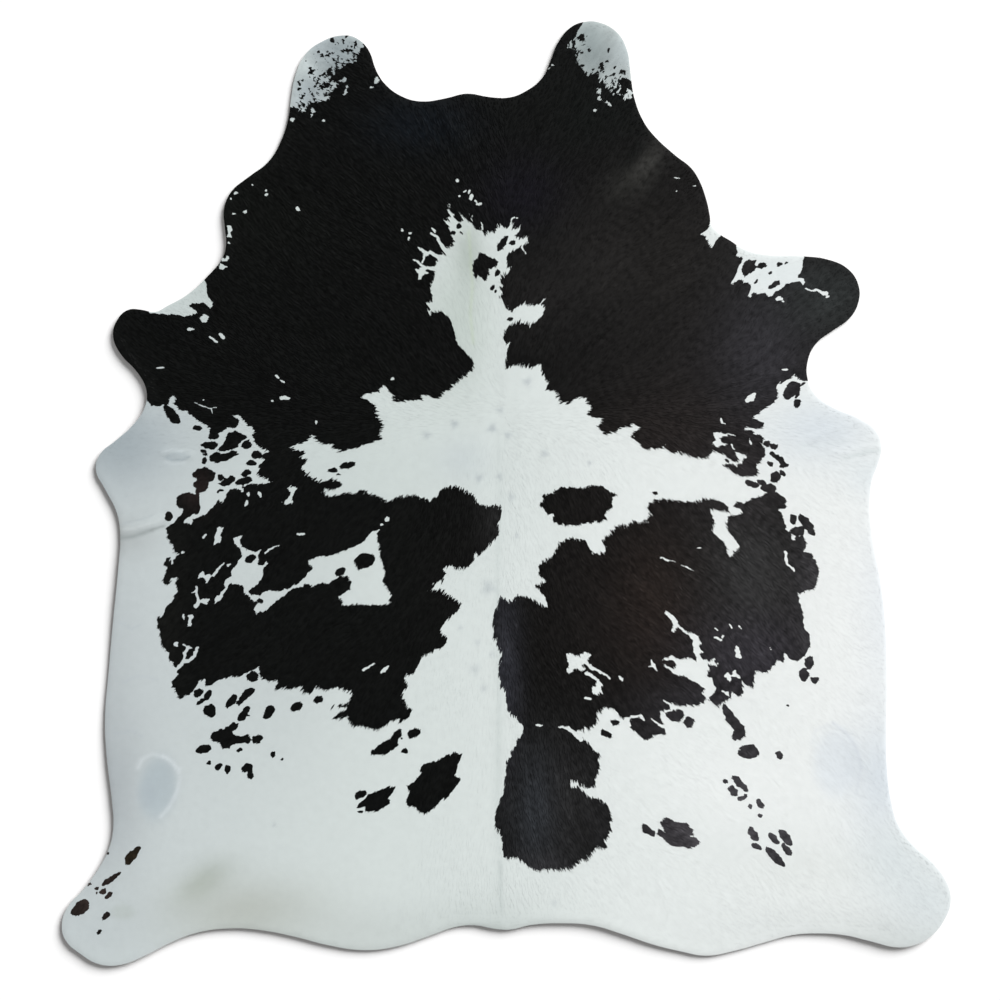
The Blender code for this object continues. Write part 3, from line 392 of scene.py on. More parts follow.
lightSpots = [
    (-76.3, -34.9, 1.2, 0.6, 0), (-70.1, -9.9, 1.2, 0.5, 60), (-66.8, -24.4, 2.2, 1.1, 45),
    (-59.9, -0.2, 0.9, 0.8, 0), (-55.7, 9.6, 1.2, 0.4, 15), (-60.3, -2.4, 1.3, 0.7, 60),
    (-57.2, -0.3, 1.4, 0.7, 110), (-47.6, -9.5, 2, 0.6, 0), (-27.5, -6, 1, 1, 0),
    (-28.7, -7.2, 0.8, 0.5, 0), (-28.1, -41.1, 2.4, 0.8, 40), (27, -43.1, 1.7, 0.6, -50),
    (19.3, -47.8, 1.6, 0.5, -15), (54.2, -37.2, 2.4, 0.7, -60), (53.9, -35.8, 0.8, 0.5, -40),
    (52.7, -31, 1.2, 0.35, -55), (54.8, -31.2, 1.1, 0.35, -40), (49.7, -33.9, 1.9, 0.6, -28),
    (50.8, -33.4, 0.8, 0.5, 40), (49.3, -31.7, 0.9, 0.25, -30), (53.9, -42.1, 1.9, 0.4, -30),
    (51.4, -46.5, 2.1, 0.5, -30), (52.2, -43.2, 2.4, 0.8, -72), (62, -36.2, 0.9, 0.2, -60),
    (45.2, -12.7, 1.1, 0.2, 0), (8, -54, 1.5, 0.4, 0), (63.9, 45.4, 1.8, 0.7, 8),
    (64.7, 44.8, 0.7, 0.4, 0), (75.2, 45.8, 0.7, 0.4, 0), (57.3, 22.3, 3, 1.3, 38),
    (65.4, 28.9, 1.5, 0.4, 0), (-70.1, 40.8, 2, 1.7, 0), (-73.3, 38.3, 1.5, 0.5, 0),
    (-68, 35.9, 2.6, 0.5, -35), (-66, 36.7, 1.6, 0.7, -55), (-70.3, 21.7, 0.4, 0.2, 0),
    (-80.4, 29.3, 1.9, 0.35, 0), (-53.2, 27.2, 1.2, 0.5, -35), (-51.8, 26.1, 1.0, 0.5, -35),
    (-51.4, 22.3, 2.3, 0.8, 0), (-54.2, 21.6, 0.5, 0.5, 0), (-26.3, 26.7, 0.9, 0.5, 0),
    (-44.1, 16.5, 0.7, 0.5, 90), (-60.3, 72.6, 1.6, 0.6, 10), (-58.8, 72.1, 0.7, 0.5, 0),
    (-62.9, 69.9, 0.8, 0.4, 30), (-63.9, 68.7, 0.4, 0.4, 0), (-55.9, 70.6, 0.5, 0.4, 0),
    (-55.9, 69.6, 0.6, 0.6, 0), (-48.3, 66.3, 1.2, 0.6, 110), (-60.6, 65.6, 0.8, 0.4, 0),
    (-63.1, 65.1, 1, 0.3, 0), (-64.3, 61.1, 2.2, 1.1, 90), (-64.2, 58.2, 1.2, 0.5, 0),
    (-65.9, 53, 1, 1, 0), (-65.2, 54.5, 1.2, 0.5, 40), (-7.9, 69.1, 1.5, 0.8, 80),
    (-8.4, 70.3, 1, 0.4, 80), (-9.4, 70.4, 0.9, 0.4, 40), (-6, 67.5, 1.6, 0.7, 10),
    (-6.8, 68, 0.8, 0.4, -30), (-11, 73, 0.6, 0.6, 0), (-10.6, 69.3, 0.5, 0.5, 0),
    (-24, 61.4, 0.6, 0.6, 0), (-22, 60.6, 0.9, 0.4, 0), (-22.5, 59.5, 0.8, 0.6, 90),
    (40, 73.6, 1.2, 0.2, 0), (44.2, 71.7, 0.7, 0.12, 15), (40.1, 70.5, 0.5, 0.12, 0),
    (-41.8, 92.3, 1.9, 1.1, 50), (-44.8, 89, 1.8, 0.5, 85), (-46.9, 89.5, 2, 0.9, 25),
    (-49.6, 87.1, 1.2, 0.8, 30), (-42.3, 86.9, 0.6, 0.5, 0), (-37, 94, 2, 0.5, 85),
    (-37.5, 96.4, 0.6, 0.6, 0), (-29.8, 96.3, 1.6, 1.2, 60), (-31.1, 94.7, 0.8, 0.3, 0),
    (21.8, 93.6, 1.2, 0.7, 80), (22, 92.2, 0.7, 0.6, 0), (21, 89.3, 0.6, 0.6, 0),
    (24.2, 90.8, 1.8, 0.5, -30), (28.8, 92.8, 2, 2, 0), (10.2, 99, 0.5, 0.3, 40),
    (11.2, 99.7, 0.6, 0.3, 0), (15.2, 104.6, 1.2, 0.6, 70), (-18.6, 51.6, 1.6, 0.5, -20),
]
# Streaks: width at the root, then the points that they follow from root to tip.
lightStreaks = [
    (0.5, [(-68, -19), (-66.8, -17.6), (-65.6, -16.3)]), (0.5, [(-64.6, -16.7), (-63.8, -16.4)]),
    (0.7, [(-71.5, -25), (-71.8, -23.6), (-71.9, -21.7)]), (0.4, [(-72, -22.6), (-73.1, -23.2)]),
    (0.6, [(-75.1, -28.7), (-74.2, -27.3)]), (0.6, [(-73.5, -30), (-72.8, -27.7)]),
    (0.5, [(-74.5, -28.6), (-73.1, -28.4)]),
    (0.8, [(-77.2, -41.6), (-75.6, -40), (-74.9, -38.8), (-74.7, -37.4), (-74.2, -36.2), (-75, -35.1)]),
    (0.7, [(-75, -39.3), (-73.6, -38.9), (-72.4, -37.8), (-71.9, -36)]),
    (0.6, [(-74.4, -35.7), (-72, -36.1)]),
    (0.45, [(-62, 11.3), (-61.4, 12.1), (-60, 12.7), (-59.2, 12.9)]),
    (0.5, [(-61.9, 1.4), (-61, 1), (-61.1, 0.4)]),
    (0.4, [(-55.9, -13.8), (-54.4, -12.7), (-52.6, -12)]), (0.6, [(-32.9, -41.1), (-30.4, -39.7)]),
    (0.8, [(19, -39.6), (20.6, -40.8), (22.8, -41.9), (24.5, -43)]),
    (0.9, [(18.9, -41.9), (20.4, -42.6), (21.7, -43.5), (22.7, -44.8)]),
    (0.7, [(34.7, -40), (35.4, -41.2)]), (0.7, [(34.6, -40), (34.1, -38.8)]),
    (0.5, [(34.5, -40.3), (33.4, -40.3)]), (0.5, [(51.9, -42.1), (53.2, -42.4)]),
    (0.5, [(39, -50), (38.2, -49.1), (37.1, -48.2)]), (0.4, [(38.8, -50.5), (37.5, -50.6)]),
    (0.6, [(27.7, -52.7), (29.2, -52.1), (31.3, -51.9), (32.5, -53)]),
    (0.6, [(37.4, -54.4), (35.8, -54), (35.2, -53.3), (34.1, -52.5)]),
    (1.1, [(17.8, -57.4), (15.7, -55.5), (14.6, -54.6), (12.5, -54.4)]),
    (0.7, [(65.4, -13.7), (65.6, -16.3), (67.5, -18)]),
    (0.35, [(36.3, -15), (37.8, -15.5), (39.7, -15.9)]),
    (0.25, [(41.2, -16.7), (42.6, -17.3), (44, -18)]), (0.9, [(74.9, 46.6), (73.6, 47), (72.4, 47.6)]),
    (0.5, [(72.5, 47.5), (71.2, 47.3), (70.1, 47.8)]),
    (0.2, [(-72.3, 21.2), (-70.2, 20.3), (-68.4, 19.7), (-67.4, 20.2)]),
    (0.25, [(-68.4, 19.6), (-68.2, 18.7)]), (0.4, [(52.8, 11.3), (53.5, 10.4)]),
    (0.35, [(57.4, 11.6), (56.9, 13)]), (0.4, [(50.4, 17.4), (50.6, 16.4), (51.4, 16.2)]),
    (0.9, [(-16, 52.4), (-18.6, 52.6), (-21.3, 54.7)]),
    (1.0, [(-15.1, 55), (-17.6, 56.2), (-18.7, 55.4), (-19.3, 54)]),
    (0.8, [(-18.3, 56), (-20.1, 57.3)]), (1.6, [(-19.3, 51.9), (-20, 50.2)]),
    (0.7, [(-20.1, 51.6), (-20.9, 52.3)]),
    (1.1, [(-13.9, 56.6), (-15.2, 58.4), (-15.5, 59.4), (-17.2, 60.7)]),
    (0.5, [(-16.2, 61), (-17.1, 61.8)]), (0.5, [(1.4, 63.8), (2.1, 64.4), (3, 64.2)]),
    (0.5, [(3.6, 57.8), (4.9, 56)]), (0.6, [(-78.3, -15.6), (-76.8, -14.3), (-75, -13.7)]),
]
darkStreaks = [
    (0.7, [(-73.9, -38.3), (-73.4, -37.2), (-73.3, -36.6)]), (0.5, [(59.4, 53.2), (58.4, 52.8)]),
]
# Places where both colours mix in small flecks: x, y, radius, depth, size of a fleck, and how
# rare the single dark dots are, if there are any.
fleckedPlaces = [
    (-45, 92.5, 6, 0.40, 0.5, 0.33), (-40, 98, 7, 0.42, 0.5, 0.33), (-36, 103, 5, 0.42, 0.5, 0.34),
    (23, 95.5, 5.5, 0.52, 0.5, 0.35), (17, 104, 4, 0.45, 0.5, 0.37), (28, 95, 4, 0.52, 0.5, 0.35),
    (-70, 8, 7, 0.12, 0.9, 0), (-76, -17, 6, 0.30, 0.9, 0), (-74, -32, 7, 0.35, 1.0, 0),
    (52, -41, 7, 0.35, 0.9, 0), (60, 8, 9, 0.10, 1.0, 0), (-62, -55, 7, 0.2, 0.8, 0),
    (-67, 57, 8, 0.5, 0.9, 0), (-58, 70, 6, 0.4, 0.9, 0), (62, 50, 7, 0.10, 0.8, 0),
    (72, -10, 5, 0.2, 1.0, 0), (70, -28, 9, 0.16, 0.8, 0), (-64, -1, 6, 0.22, 0.8, 0),
    (-52, -22, 8, 0.14, 0.8, 0), (-28, -30, 7, 0.10, 0.8, 0),
]
fleckSizes = {
    "band": 5,          # flecks lie up to this far from a patch edge, in cm
    "shift": 2.2,       # how far the deepest fleck moves that edge, in cm
    "seed": 5.3,
    "dotScale": 1.9,    # how close the single dots stand, to a cm
    "dotSeed": 9.1,
}


def patternPlace(x, y):
    # From metres on the model to centimetres on the pattern.
    return (x - patternSizes["shift"][0]) * 100, (y - patternSizes["shift"][1]) * 100


def smooth(value, low, high):
    share = np.clip((value - low) / (high - low), 0, 1)
    return share * share * (3 - 2 * share)


def lineDistance(px, py, start, end):
    dx, dy = end[0] - start[0], end[1] - start[1]
    along = ((px - start[0]) * dx + (py - start[1]) * dy) / (dx * dx + dy * dy + 1e-12)
    along = np.clip(along, 0, 1)
    return np.hypot(px - start[0] - along * dx, py - start[1] - along * dy)


def areaDistance(px, py, points):
    # Distance from the area's edge, above 0 inside it and below 0 outside.
    near = np.full(px.shape, farOff)
    inside = np.zeros(px.shape, bool)
    for a, b in zip(points, points[1:] + points[:1]):
        near = np.minimum(near, lineDistance(px, py, a, b))
        if a[1] != b[1]:
            level = (a[1] > py) != (b[1] > py)
            inside ^= level & (px < (b[0] - a[0]) * (py - a[1]) / (b[1] - a[1]) + a[0])
    return np.where(inside, near, -near)


def spotDistance(px, py, spot):
    x, y, long, wide, tilt = spot
    turn = math.radians(tilt)
    u = (px - x) * math.cos(turn) + (py - y) * math.sin(turn)
    v = (py - y) * math.cos(turn) - (px - x) * math.sin(turn)
    around = np.arctan2(v, u)
    k = np.hypot(u / long * 2, v / wide * 2)
    three, five = patternSizes["spotWaves"]
    k *= 1 + three * np.sin(3 * around + x * 5) + five * np.sin(5 * around + y * 7)
    slope = np.hypot(u / long ** 2 * 4, v / wide ** 2 * 4)
    return k * (1 - k) / np.maximum(slope, 1e-9) + patternSizes["spotGrow"]


def streakDistance(px, py, streak):
    # A streak gets narrower from its root to its tip.
    width, points = streak
    lengths = [math.dist(a, b) for a, b in zip(points, points[1:])]
    found = np.full(px.shape, -farOff)
    run = 0
    for a, b, length in zip(points, points[1:], lengths):
        along = ((px - a[0]) * (b[0] - a[0]) + (py - a[1]) * (b[1] - a[1])) / length ** 2
        share = (run + np.clip(along, 0, 1) * length) / sum(lengths)
        here = width / 2 * (1 - patternSizes["taper"] * share) - lineDistance(px, py, a, b)
        found = np.maximum(found, here)
        run += length
    return found + patternSizes["spotGrow"]


def flecked(px, py, field):
    # Breaks the edges up into small flecks where both colours mix, with dark dots beyond them.
    for x, y, radius, deep, size, dots in fleckedPlaces:
        away = np.hypot(px - x, py - y) / radius
        here = (away < 1) & (np.abs(field) < fleckSizes["band"])
        places = list(zip(px[here], py[here]))
        flecks = np.array([noise.noise((u / size, v / size, fleckSizes["seed"])) for u, v in places])
        field[here] += flecks * fleckSizes["shift"] * deep * (1 - away[here] ** 4)
        if dots:
            scale, seed = fleckSizes["dotScale"], fleckSizes["dotSeed"]
            single = np.array([noise.noise((u * scale, v * scale, seed)) for u, v in places])
            field[here] = np.maximum(field[here], (single - dots) * 2 - away[here] ** 6)


def paint(pattern, px, py, points, measure, shape, dark, tooth):
    # Lays one shape over the pattern, working only on the places near it.
    field, teeth = pattern
    xs, ys = [p[0] for p in points], [p[1] for p in points]
    reach = patternSizes["reach"]
    here = (px > min(xs) - reach) & (px < max(xs) + reach)
    here &= (py > min(ys) - reach) & (py < max(ys) + reach)
    found = measure(px[here], py[here], shape) * (1 if dark else -1)
    wins = found > field[here] if dark else found < field[here]
    field[here] = np.where(wins, found, field[here])
    teeth[here] = np.where(wins, tooth, teeth[here])


def coatPattern(x, y):
    # How deep a place lies in the dark hair, in metres, and below 0 in the white hair,
    # and how long the hair stands out along the edge nearest to it, from 0 to 1.
    px, py = patternPlace(x, y)
    # The drawn outlines are bent by waves of unequal lengths.
    wobble = patternSizes["wobble"]
    wx = np.sin(px * 2.1 + py * 1.3) + np.sin(px * -1.2 + py * 3.1 + 1) + np.sin(px * 4.7 - py * 2.9 + 2)
    wy = np.sin(px * 1.5 - py * 2.3 + 3) + np.sin(px * 3.3 + py * 0.9 + 4) + np.sin(px * 2.7 + py * 5.1)
    px, py = px + wx * wobble / 2, py + wy * wobble / 2
    pattern = (np.full(px.shape, -farOff), np.ones(px.shape))
    for areas, dark, kind in ((darkAreas, True, "patch"), (lightAreas, False, "window"),
                              (darkIslands, True, "island")):
        for area in areas.values():
            paint(pattern, px, py, area, areaDistance, area, dark, toothSizes[kind])
    for spots, dark, most in ((darkSpots, True, "darkSpotMost"), (lightSpots, False, "lightSpotMost")):
        for spot in spots:
            tooth = min(toothSizes[most], toothSizes["spotLeast"] + toothSizes["spotGrows"] * spot[3])
            paint(pattern, px, py, [spot[:2]], spotDistance, spot, dark, tooth)
    for streaks, dark in ((lightStreaks, False), (darkStreaks, True)):
        for streak in streaks:
            paint(pattern, px, py, streak[1], streakDistance, streak, dark, toothSizes["streak"])
    flecked(px, py, pattern[0])
    start, end, share = patternSizes["calm"]
    teeth = pattern[1] * (1 - share * smooth(np.abs(px), start, end))
    return np.clip(pattern[0], -patternSizes["deepest"], patternSizes["deepest"]) / 100, teeth


# How the hair lies.
flowSizes = {
    "sideStart": 0.01,             # from here outwards the hair turns away from the spine
    "sideFull": 0.40,              # and this much further out it keeps its angle
    "hindTurn": 46,                # degrees outwards from straight back, behind the shoulders
    "hindSpread": (0.25, 0.75),    # share of that turn beside the spine, and what comes on top
    "neckTurn": 52,                # degrees outwards from straight forward, on neck and forelegs
    "neckSpread": (0.45, 0.55),
    "whorl": (0.02, 0.34),         # between these heights it turns from one to the other
    "whorlOut": 1.2,               # how much more it points outwards there
    "wander": 14,                  # degrees that it strays from that
    "samples": 5,                  # of noise along the hair, and how far their mean is stretched
    "stretch": 2.6,
}


def hairHeading(x, y):
    # The way the hair points, as an angle from +X in radians.
    side = smooth(np.abs(x), flowSizes["sideStart"], flowSizes["sideStart"] + flowSizes["sideFull"])
    out = np.where(x < 0, -1.0, 1.0)
    least, more = flowSizes["hindSpread"]
    back = math.radians(flowSizes["hindTurn"]) * (least + more * side)
    least, more = flowSizes["neckSpread"]
    front = math.radians(flowSizes["neckTurn"]) * (least + more * side)
    share = smooth(y, *flowSizes["whorl"])
    across = (1 - share) * np.sin(back) + share * np.sin(front)
    across = across + flowSizes["whorlOut"] * share * (1 - share)
    along = share * np.cos(front) - (1 - share) * np.cos(back)
    wander = np.sin(x * 9.1 + y * 4.3 + 1.0) + np.sin(y * 11.7 - x * 5.9) + np.sin(x * 23 + y * 17)
    return np.arctan2(along, across * out) + wander / 3 * math.radians(flowSizes["wander"])


def hairNoise(x, y, wide, long, seed):
    # Noise drawn out along the hair: several samples along it are averaged.
    count = flowSizes["samples"]
    heading = hairHeading(x, y)
    dx, dy = np.cos(heading), np.sin(heading)
    total = np.zeros(len(x))
    for step in np.linspace(-0.5, 0.5, count):
        places = np.column_stack([x + dx * long * step, y + dy * long * step]) / wide
        total += [noise.noise((u, v, seed)) for u, v in places.tolist()]
    return total / count * flowSizes["stretch"]


# The hide's own sizes, in metres.
hideSizes = {
    "leather": 0.0022,      # the tanned skin
    "rimHair": 0.0006,      # hair pressed down at the cut edge
    "bellyHair": 0.0016,    # depth of the lying hair on the belly and the legs
    "backHair": 0.0034,     # and along the back and on the neck
    "backSpread": 0.42,     # how far from the spine the deep hair reaches
    "rimSlope": 0.014,      # width of the band where the hair rises from the cut edge
    "lockRoom": 0.0007,     # part of that depth that the drawn locks fill
    "grainDrop": 0.0013,    # how far the leather lies lower under the hair, out of sight
    "curl": 0.0118,         # how far the cut edge lifts off the floor
    "curlWide": 0.034,      # width of the band that lifts
    "curlWaves": (0.72, 0.16, 0.12),    # the lift's mean, its long waves and its short ones
    "curlSide": (0.35, 0.65),           # its share towards the neck, and what comes on top of it
    "rimEven": 0.5,         # share of its slope that the hair evens out at the cut edge
    "edgeStep": 0.0055,     # spacing of the points along the cut edge
    "edgeRound": 0.0024,    # how far inside it the hair's rounded edge is full
    "coarse": 0.0116,       # spacing of the points inside a patch
    "fine": 5,              # how many times closer they stand along a patch edge
    "fineBand": 0.0042,     # how far from a patch edge they do
    "middle": 2,            # how many times closer they stand along creases and small marks
    "clearOfRim": 0.6,      # steps of the cut edge that the points inside keep from it
    "clearOfPatch": 0.7,    # steps inside a patch that the coarse points keep from its edge
    "markMargin": 0.6,      # how far around a small mark the points stand closer, in cm
    "mapWide": 2.30,        # width of the flat map
    "onFloor": 1e-4,        # the model's points below this height make up its rim
    "upright": 0.3,         # and so do faces whose normal rises less than this
    "weld": 1e-5,           # points of the model closer than this are one
    "snap": 1e-7,           # and points of a flat mesh
}
# Creases and hollows in the model's places, some of them softer than there: x1, y1, x2, y2,
# width, rise, and x, y, radii, depth.
creases = [
    (-0.895, -0.090, -0.790, -0.062, 0.040, 0.0014), (-0.800, 0.095, -0.735, 0.088, 0.032, 0.0007),
    (0.872, 0.108, 0.765, 0.092, 0.034, 0.0005), (0.830, 0.165, 0.715, 0.125, 0.036, 0.0004),
    (-0.180, 0.925, -0.100, 0.800, 0.060, 0.0010),
    (0.350, 0.810, 0.290, 0.700, 0.070, 0.0009),
]
hollows = [
    (-0.820, -0.675, 0.080, 0.095, 0.0011), (0.785, -0.650, 0.070, 0.090, 0.0009),
    (-0.710, -0.900, 0.150, 0.080, 0.0008), (-0.015, 0.150, 0.060, 0.450, 0.0006),
]


def cutEdgeOf(node):
    # The model's rim on the floor, as a closed loop of points.
    body = bmesh.new()
    body.from_mesh(node.data)
    bmesh.ops.remove_doubles(body, verts=body.verts, dist=hideSizes["weld"])
    nextTo = {}
    for edge in body.edges:
        if max(v.co.z for v in edge.verts) < hideSizes["onFloor"]:
            upright = [face for face in edge.link_faces if abs(face.normal.z) < hideSizes["upright"]]
            if len(upright) == 1:
                a, b = edge.verts
                nextTo.setdefault(a.index, []).append(b.index)
                nextTo.setdefault(b.index, []).append(a.index)
    start = min(nextTo)
    loop = [start]
    before = None
    while True:
        ahead = [i for i in nextTo[loop[-1]] if i != before]
        before = loop[-1]
        if ahead[0] == start or len(loop) > len(nextTo):
            break
        loop.append(ahead[0])
    body.verts.ensure_lookup_table()
    points = [(body.verts[i].co.x, body.verts[i].co.y) for i in loop]
    body.free()
    area = sum(a[0] * b[1] - b[0] * a[1] for a, b in zip(points, points[1:] + points[:1])) / 2
    return points if area > 0 else points[::-1]


def smoothLoop(points, step):
    # A rounder loop through the same points, with even steps.
    ring = np.array(points)
    p0, p1, p2, p3 = np.roll(ring, 1, 0), ring, np.roll(ring, -1, 0), np.roll(ring, -2, 0)
    fine = []
    for t in (0, 0.25, 0.5, 0.75):
        fine.append(0.5 * (2 * p1 + (p2 - p0) * t + (2 * p0 - 5 * p1 + 4 * p2 - p3) * t * t
                           + (3 * p1 - p0 - 3 * p2 + p3) * t ** 3))
    fine = np.stack(fine, 1).reshape(-1, 2)
    closed = np.vstack([fine, fine[:1]])
    run = np.concatenate([[0], np.cumsum(np.hypot(*np.diff(closed, axis=0).T))])
    count = int(run[-1] / step)
    at = np.arange(count) * run[-1] / count
    return np.column_stack([np.interp(at, run, closed[:, 0]), np.interp(at, run, closed[:, 1])])


def inwards(loop, deep):
    # The loop moved that far inside itself.
    along = np.roll(loop, -1, 0) - np.roll(loop, 1, 0)
    along /= np.hypot(along[:, 0], along[:, 1])[:, None]
    return loop + np.column_stack([-along[:, 1], along[:, 0]]) * deep


def rimCurl(x, y, rimGap):
    # The cut edge lifts a little, more at the belly and the rump and less at the neck.
    mean, long, short = hideSizes["curlWaves"]
    waves = mean + long * np.sin(x * 7.3 + 1.1) * np.cos(y * 6.1) + short * np.sin(y * 13 + x * 9)
    least, more = hideSizes["curlSide"]
    waves *= least + more * smooth(-x - y, -0.7, 0.3)
    rise = np.clip(1 - rimGap / hideSizes["curlWide"], 0, 1) ** 2
    return hideSizes["curl"] * waves * rise


def coatHeight(x, y, rimGap):
    # Leather and lying hair together, deeper along the back, with the creases and hollows.
    back = np.exp(-(x / hideSizes["backSpread"]) ** 2)
    full = hideSizes["leather"] + hideSizes["bellyHair"]
    full = full + (hideSizes["backHair"] - hideSizes["bellyHair"]) * back
    for x1, y1, x2, y2, width, rise in creases:
        near = lineDistance(x, y, (x1, y1), (x2, y2))
        full += rise * (1 + np.cos(2 * math.pi * np.minimum(near / width, 0.5))) / 2
    for cx, cy, rx, ry, deep in hollows:
        away = np.minimum(np.hypot((x - cx) / rx, (y - cy) / ry), 1)
        full -= deep * (1 + np.cos(math.pi * away)) / 2
    rimHeight = hideSizes["leather"] + hideSizes["rimHair"] * np.clip(rimGap / hideSizes["edgeRound"], 0, 1)
    share = np.clip(rimGap / hideSizes["rimSlope"], 0, 1)
    return rimHeight + (full - rimHeight) * share * (2 - share)


roughRim = cutEdgeOf(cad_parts["hide"])
rim = smoothLoop(roughRim, hideSizes["edgeStep"])
print("cut edge has", len(rim), "points")


rowShare = math.sqrt(0.75)   # rows of even triangles stand this much closer than the points in them


def lattice(step, low, high):
    # Points at the corners of even triangles, from the low corner of a box to its high one.
    rows = np.arange(low[1], high[1], step * rowShare)
    columns = np.arange(low[0], high[0], step)
    x = columns[None, :] + (np.arange(len(rows)) % 2 * step / 2)[:, None]
    y = np.repeat(rows, len(columns))
    return x.ravel(), y


def insideOfRim(x, y, least):
    # Only the points that lie at least that far inside the rim.
    keep = areaDistance(x, y, roughRim) > least
    return x[keep], y[keep]


def finer(x, y, count):
    # Every point of the lattice becomes a small lattice of its own, centred on it.
    step = hideSizes["coarse"] / count
    middle = (count - 1) / 2
    fx, fy = [], []
    for row in range(count):
        for column in range(count):
            fx.append(x + (column - middle + (row - middle) / 2) * step)
            fy.append(y + (row - middle) * step * rowShare)
    return np.concatenate(fx), np.concatenate(fy)


def nearMarks(x, y):
    # The places beside creases, skin spots and fine lines.
    px, py = patternPlace(x, y)
    margin = hideSizes["markMargin"]
    close = np.zeros(x.shape, bool)
    for sx, sy, width, deep in skinSpots:
        close |= np.hypot(px - sx, py - sy) < width + margin
    for width, colour, strength, points in whiteLinesAndPaintedShading:
        for a, b in zip(points, points[1:]):
            close |= lineDistance(px, py, a, b) < width + margin
    for x1, y1, x2, y2, width, rise in creases:
        close |= lineDistance(x, y, (x1, y1), (x2, y2)) < width / 2
    return close


def bedPoints():
    # Wide steps inside the patches and narrow ones along their edges.
    step = hideSizes["coarse"]
    least = hideSizes["edgeRound"] + hideSizes["edgeStep"] * hideSizes["clearOfRim"]
    x, y = lattice(step, cadLow, cadHigh)
    x, y = insideOfRim(x, y, least)
    near = np.abs(coatPattern(x, y)[0]) < hideSizes["fineBand"] + step * hideSizes["clearOfPatch"]
    fx, fy = finer(x[near], y[near], hideSizes["fine"])
    keep = np.abs(coatPattern(fx, fy)[0]) < hideSizes["fineBand"]
    marked = ~near & nearMarks(x, y)
    mx, my = finer(x[marked], y[marked], hideSizes["middle"])
    plain = ~near & ~marked
    fx, fy = np.concatenate([fx[keep], mx]), np.concatenate([fy[keep], my])
    fx, fy = insideOfRim(fx, fy, least)
    ring = inwards(rim, hideSizes["edgeRound"])
    return np.concatenate([x[plain], fx, ring[:, 0]]), np.concatenate([y[plain], fy, ring[:, 1]])


def flatMesh(x, y):
    # The rim filled with triangles through the given points.
    flat = [Vector(p) for p in rim.tolist()] + [Vector(p) for p in zip(x.tolist(), y.tolist())]
    outline = list(range(len(rim)))
    places, _, faces, _, _, _ = delaunay_2d_cdt(flat, [], [outline], 1, hideSizes["snap"])
    return np.array([(p.x, p.y) for p in places]), [tuple(f) for f in faces]


def newObject(name, data):
    made = bpy.data.objects.new(name, data)
    bpy.context.scene.collection.objects.link(made)
    return made


def newPiece(name, places, faces):
    mesh = bpy.data.meshes.new(name)
    mesh.from_pydata(places.tolist(), [], faces)
    mesh.validate()
    mesh.shade_smooth()
    return newObject(name, mesh)


def addValues(piece, name, kind, values):
    layer = piece.data.attributes.new(name, kind, "POINT")
    key = {"FLOAT": "value", "FLOAT_VECTOR": "vector", "FLOAT_COLOR": "color"}[kind]
    layer.data.foreach_set(key, np.asarray(values, np.float32).ravel())


def vertexValues(mesh, kind):
    # The vertices' places, kind "co", or their normals, as rows.
    values = np.zeros(len(mesh.vertices) * 3, np.float32)
    mesh.vertices.foreach_get(kind, values)
    return values.reshape(-1, 3).astype(float)


def flatMap(piece):
    # A map straight from above, for a piece whose colour follows its place on the hide.
    layer = piece.data.uv_layers.new(name="OFBake")
    corner = np.zeros(len(piece.data.loops), np.int32)
    piece.data.loops.foreach_get("vertex_index", corner)
    flat = vertexValues(piece.data, "co")[corner, :2] / hideSizes["mapWide"] + 0.5
    layer.data.foreach_set("uv", flat.astype(np.float32).ravel())
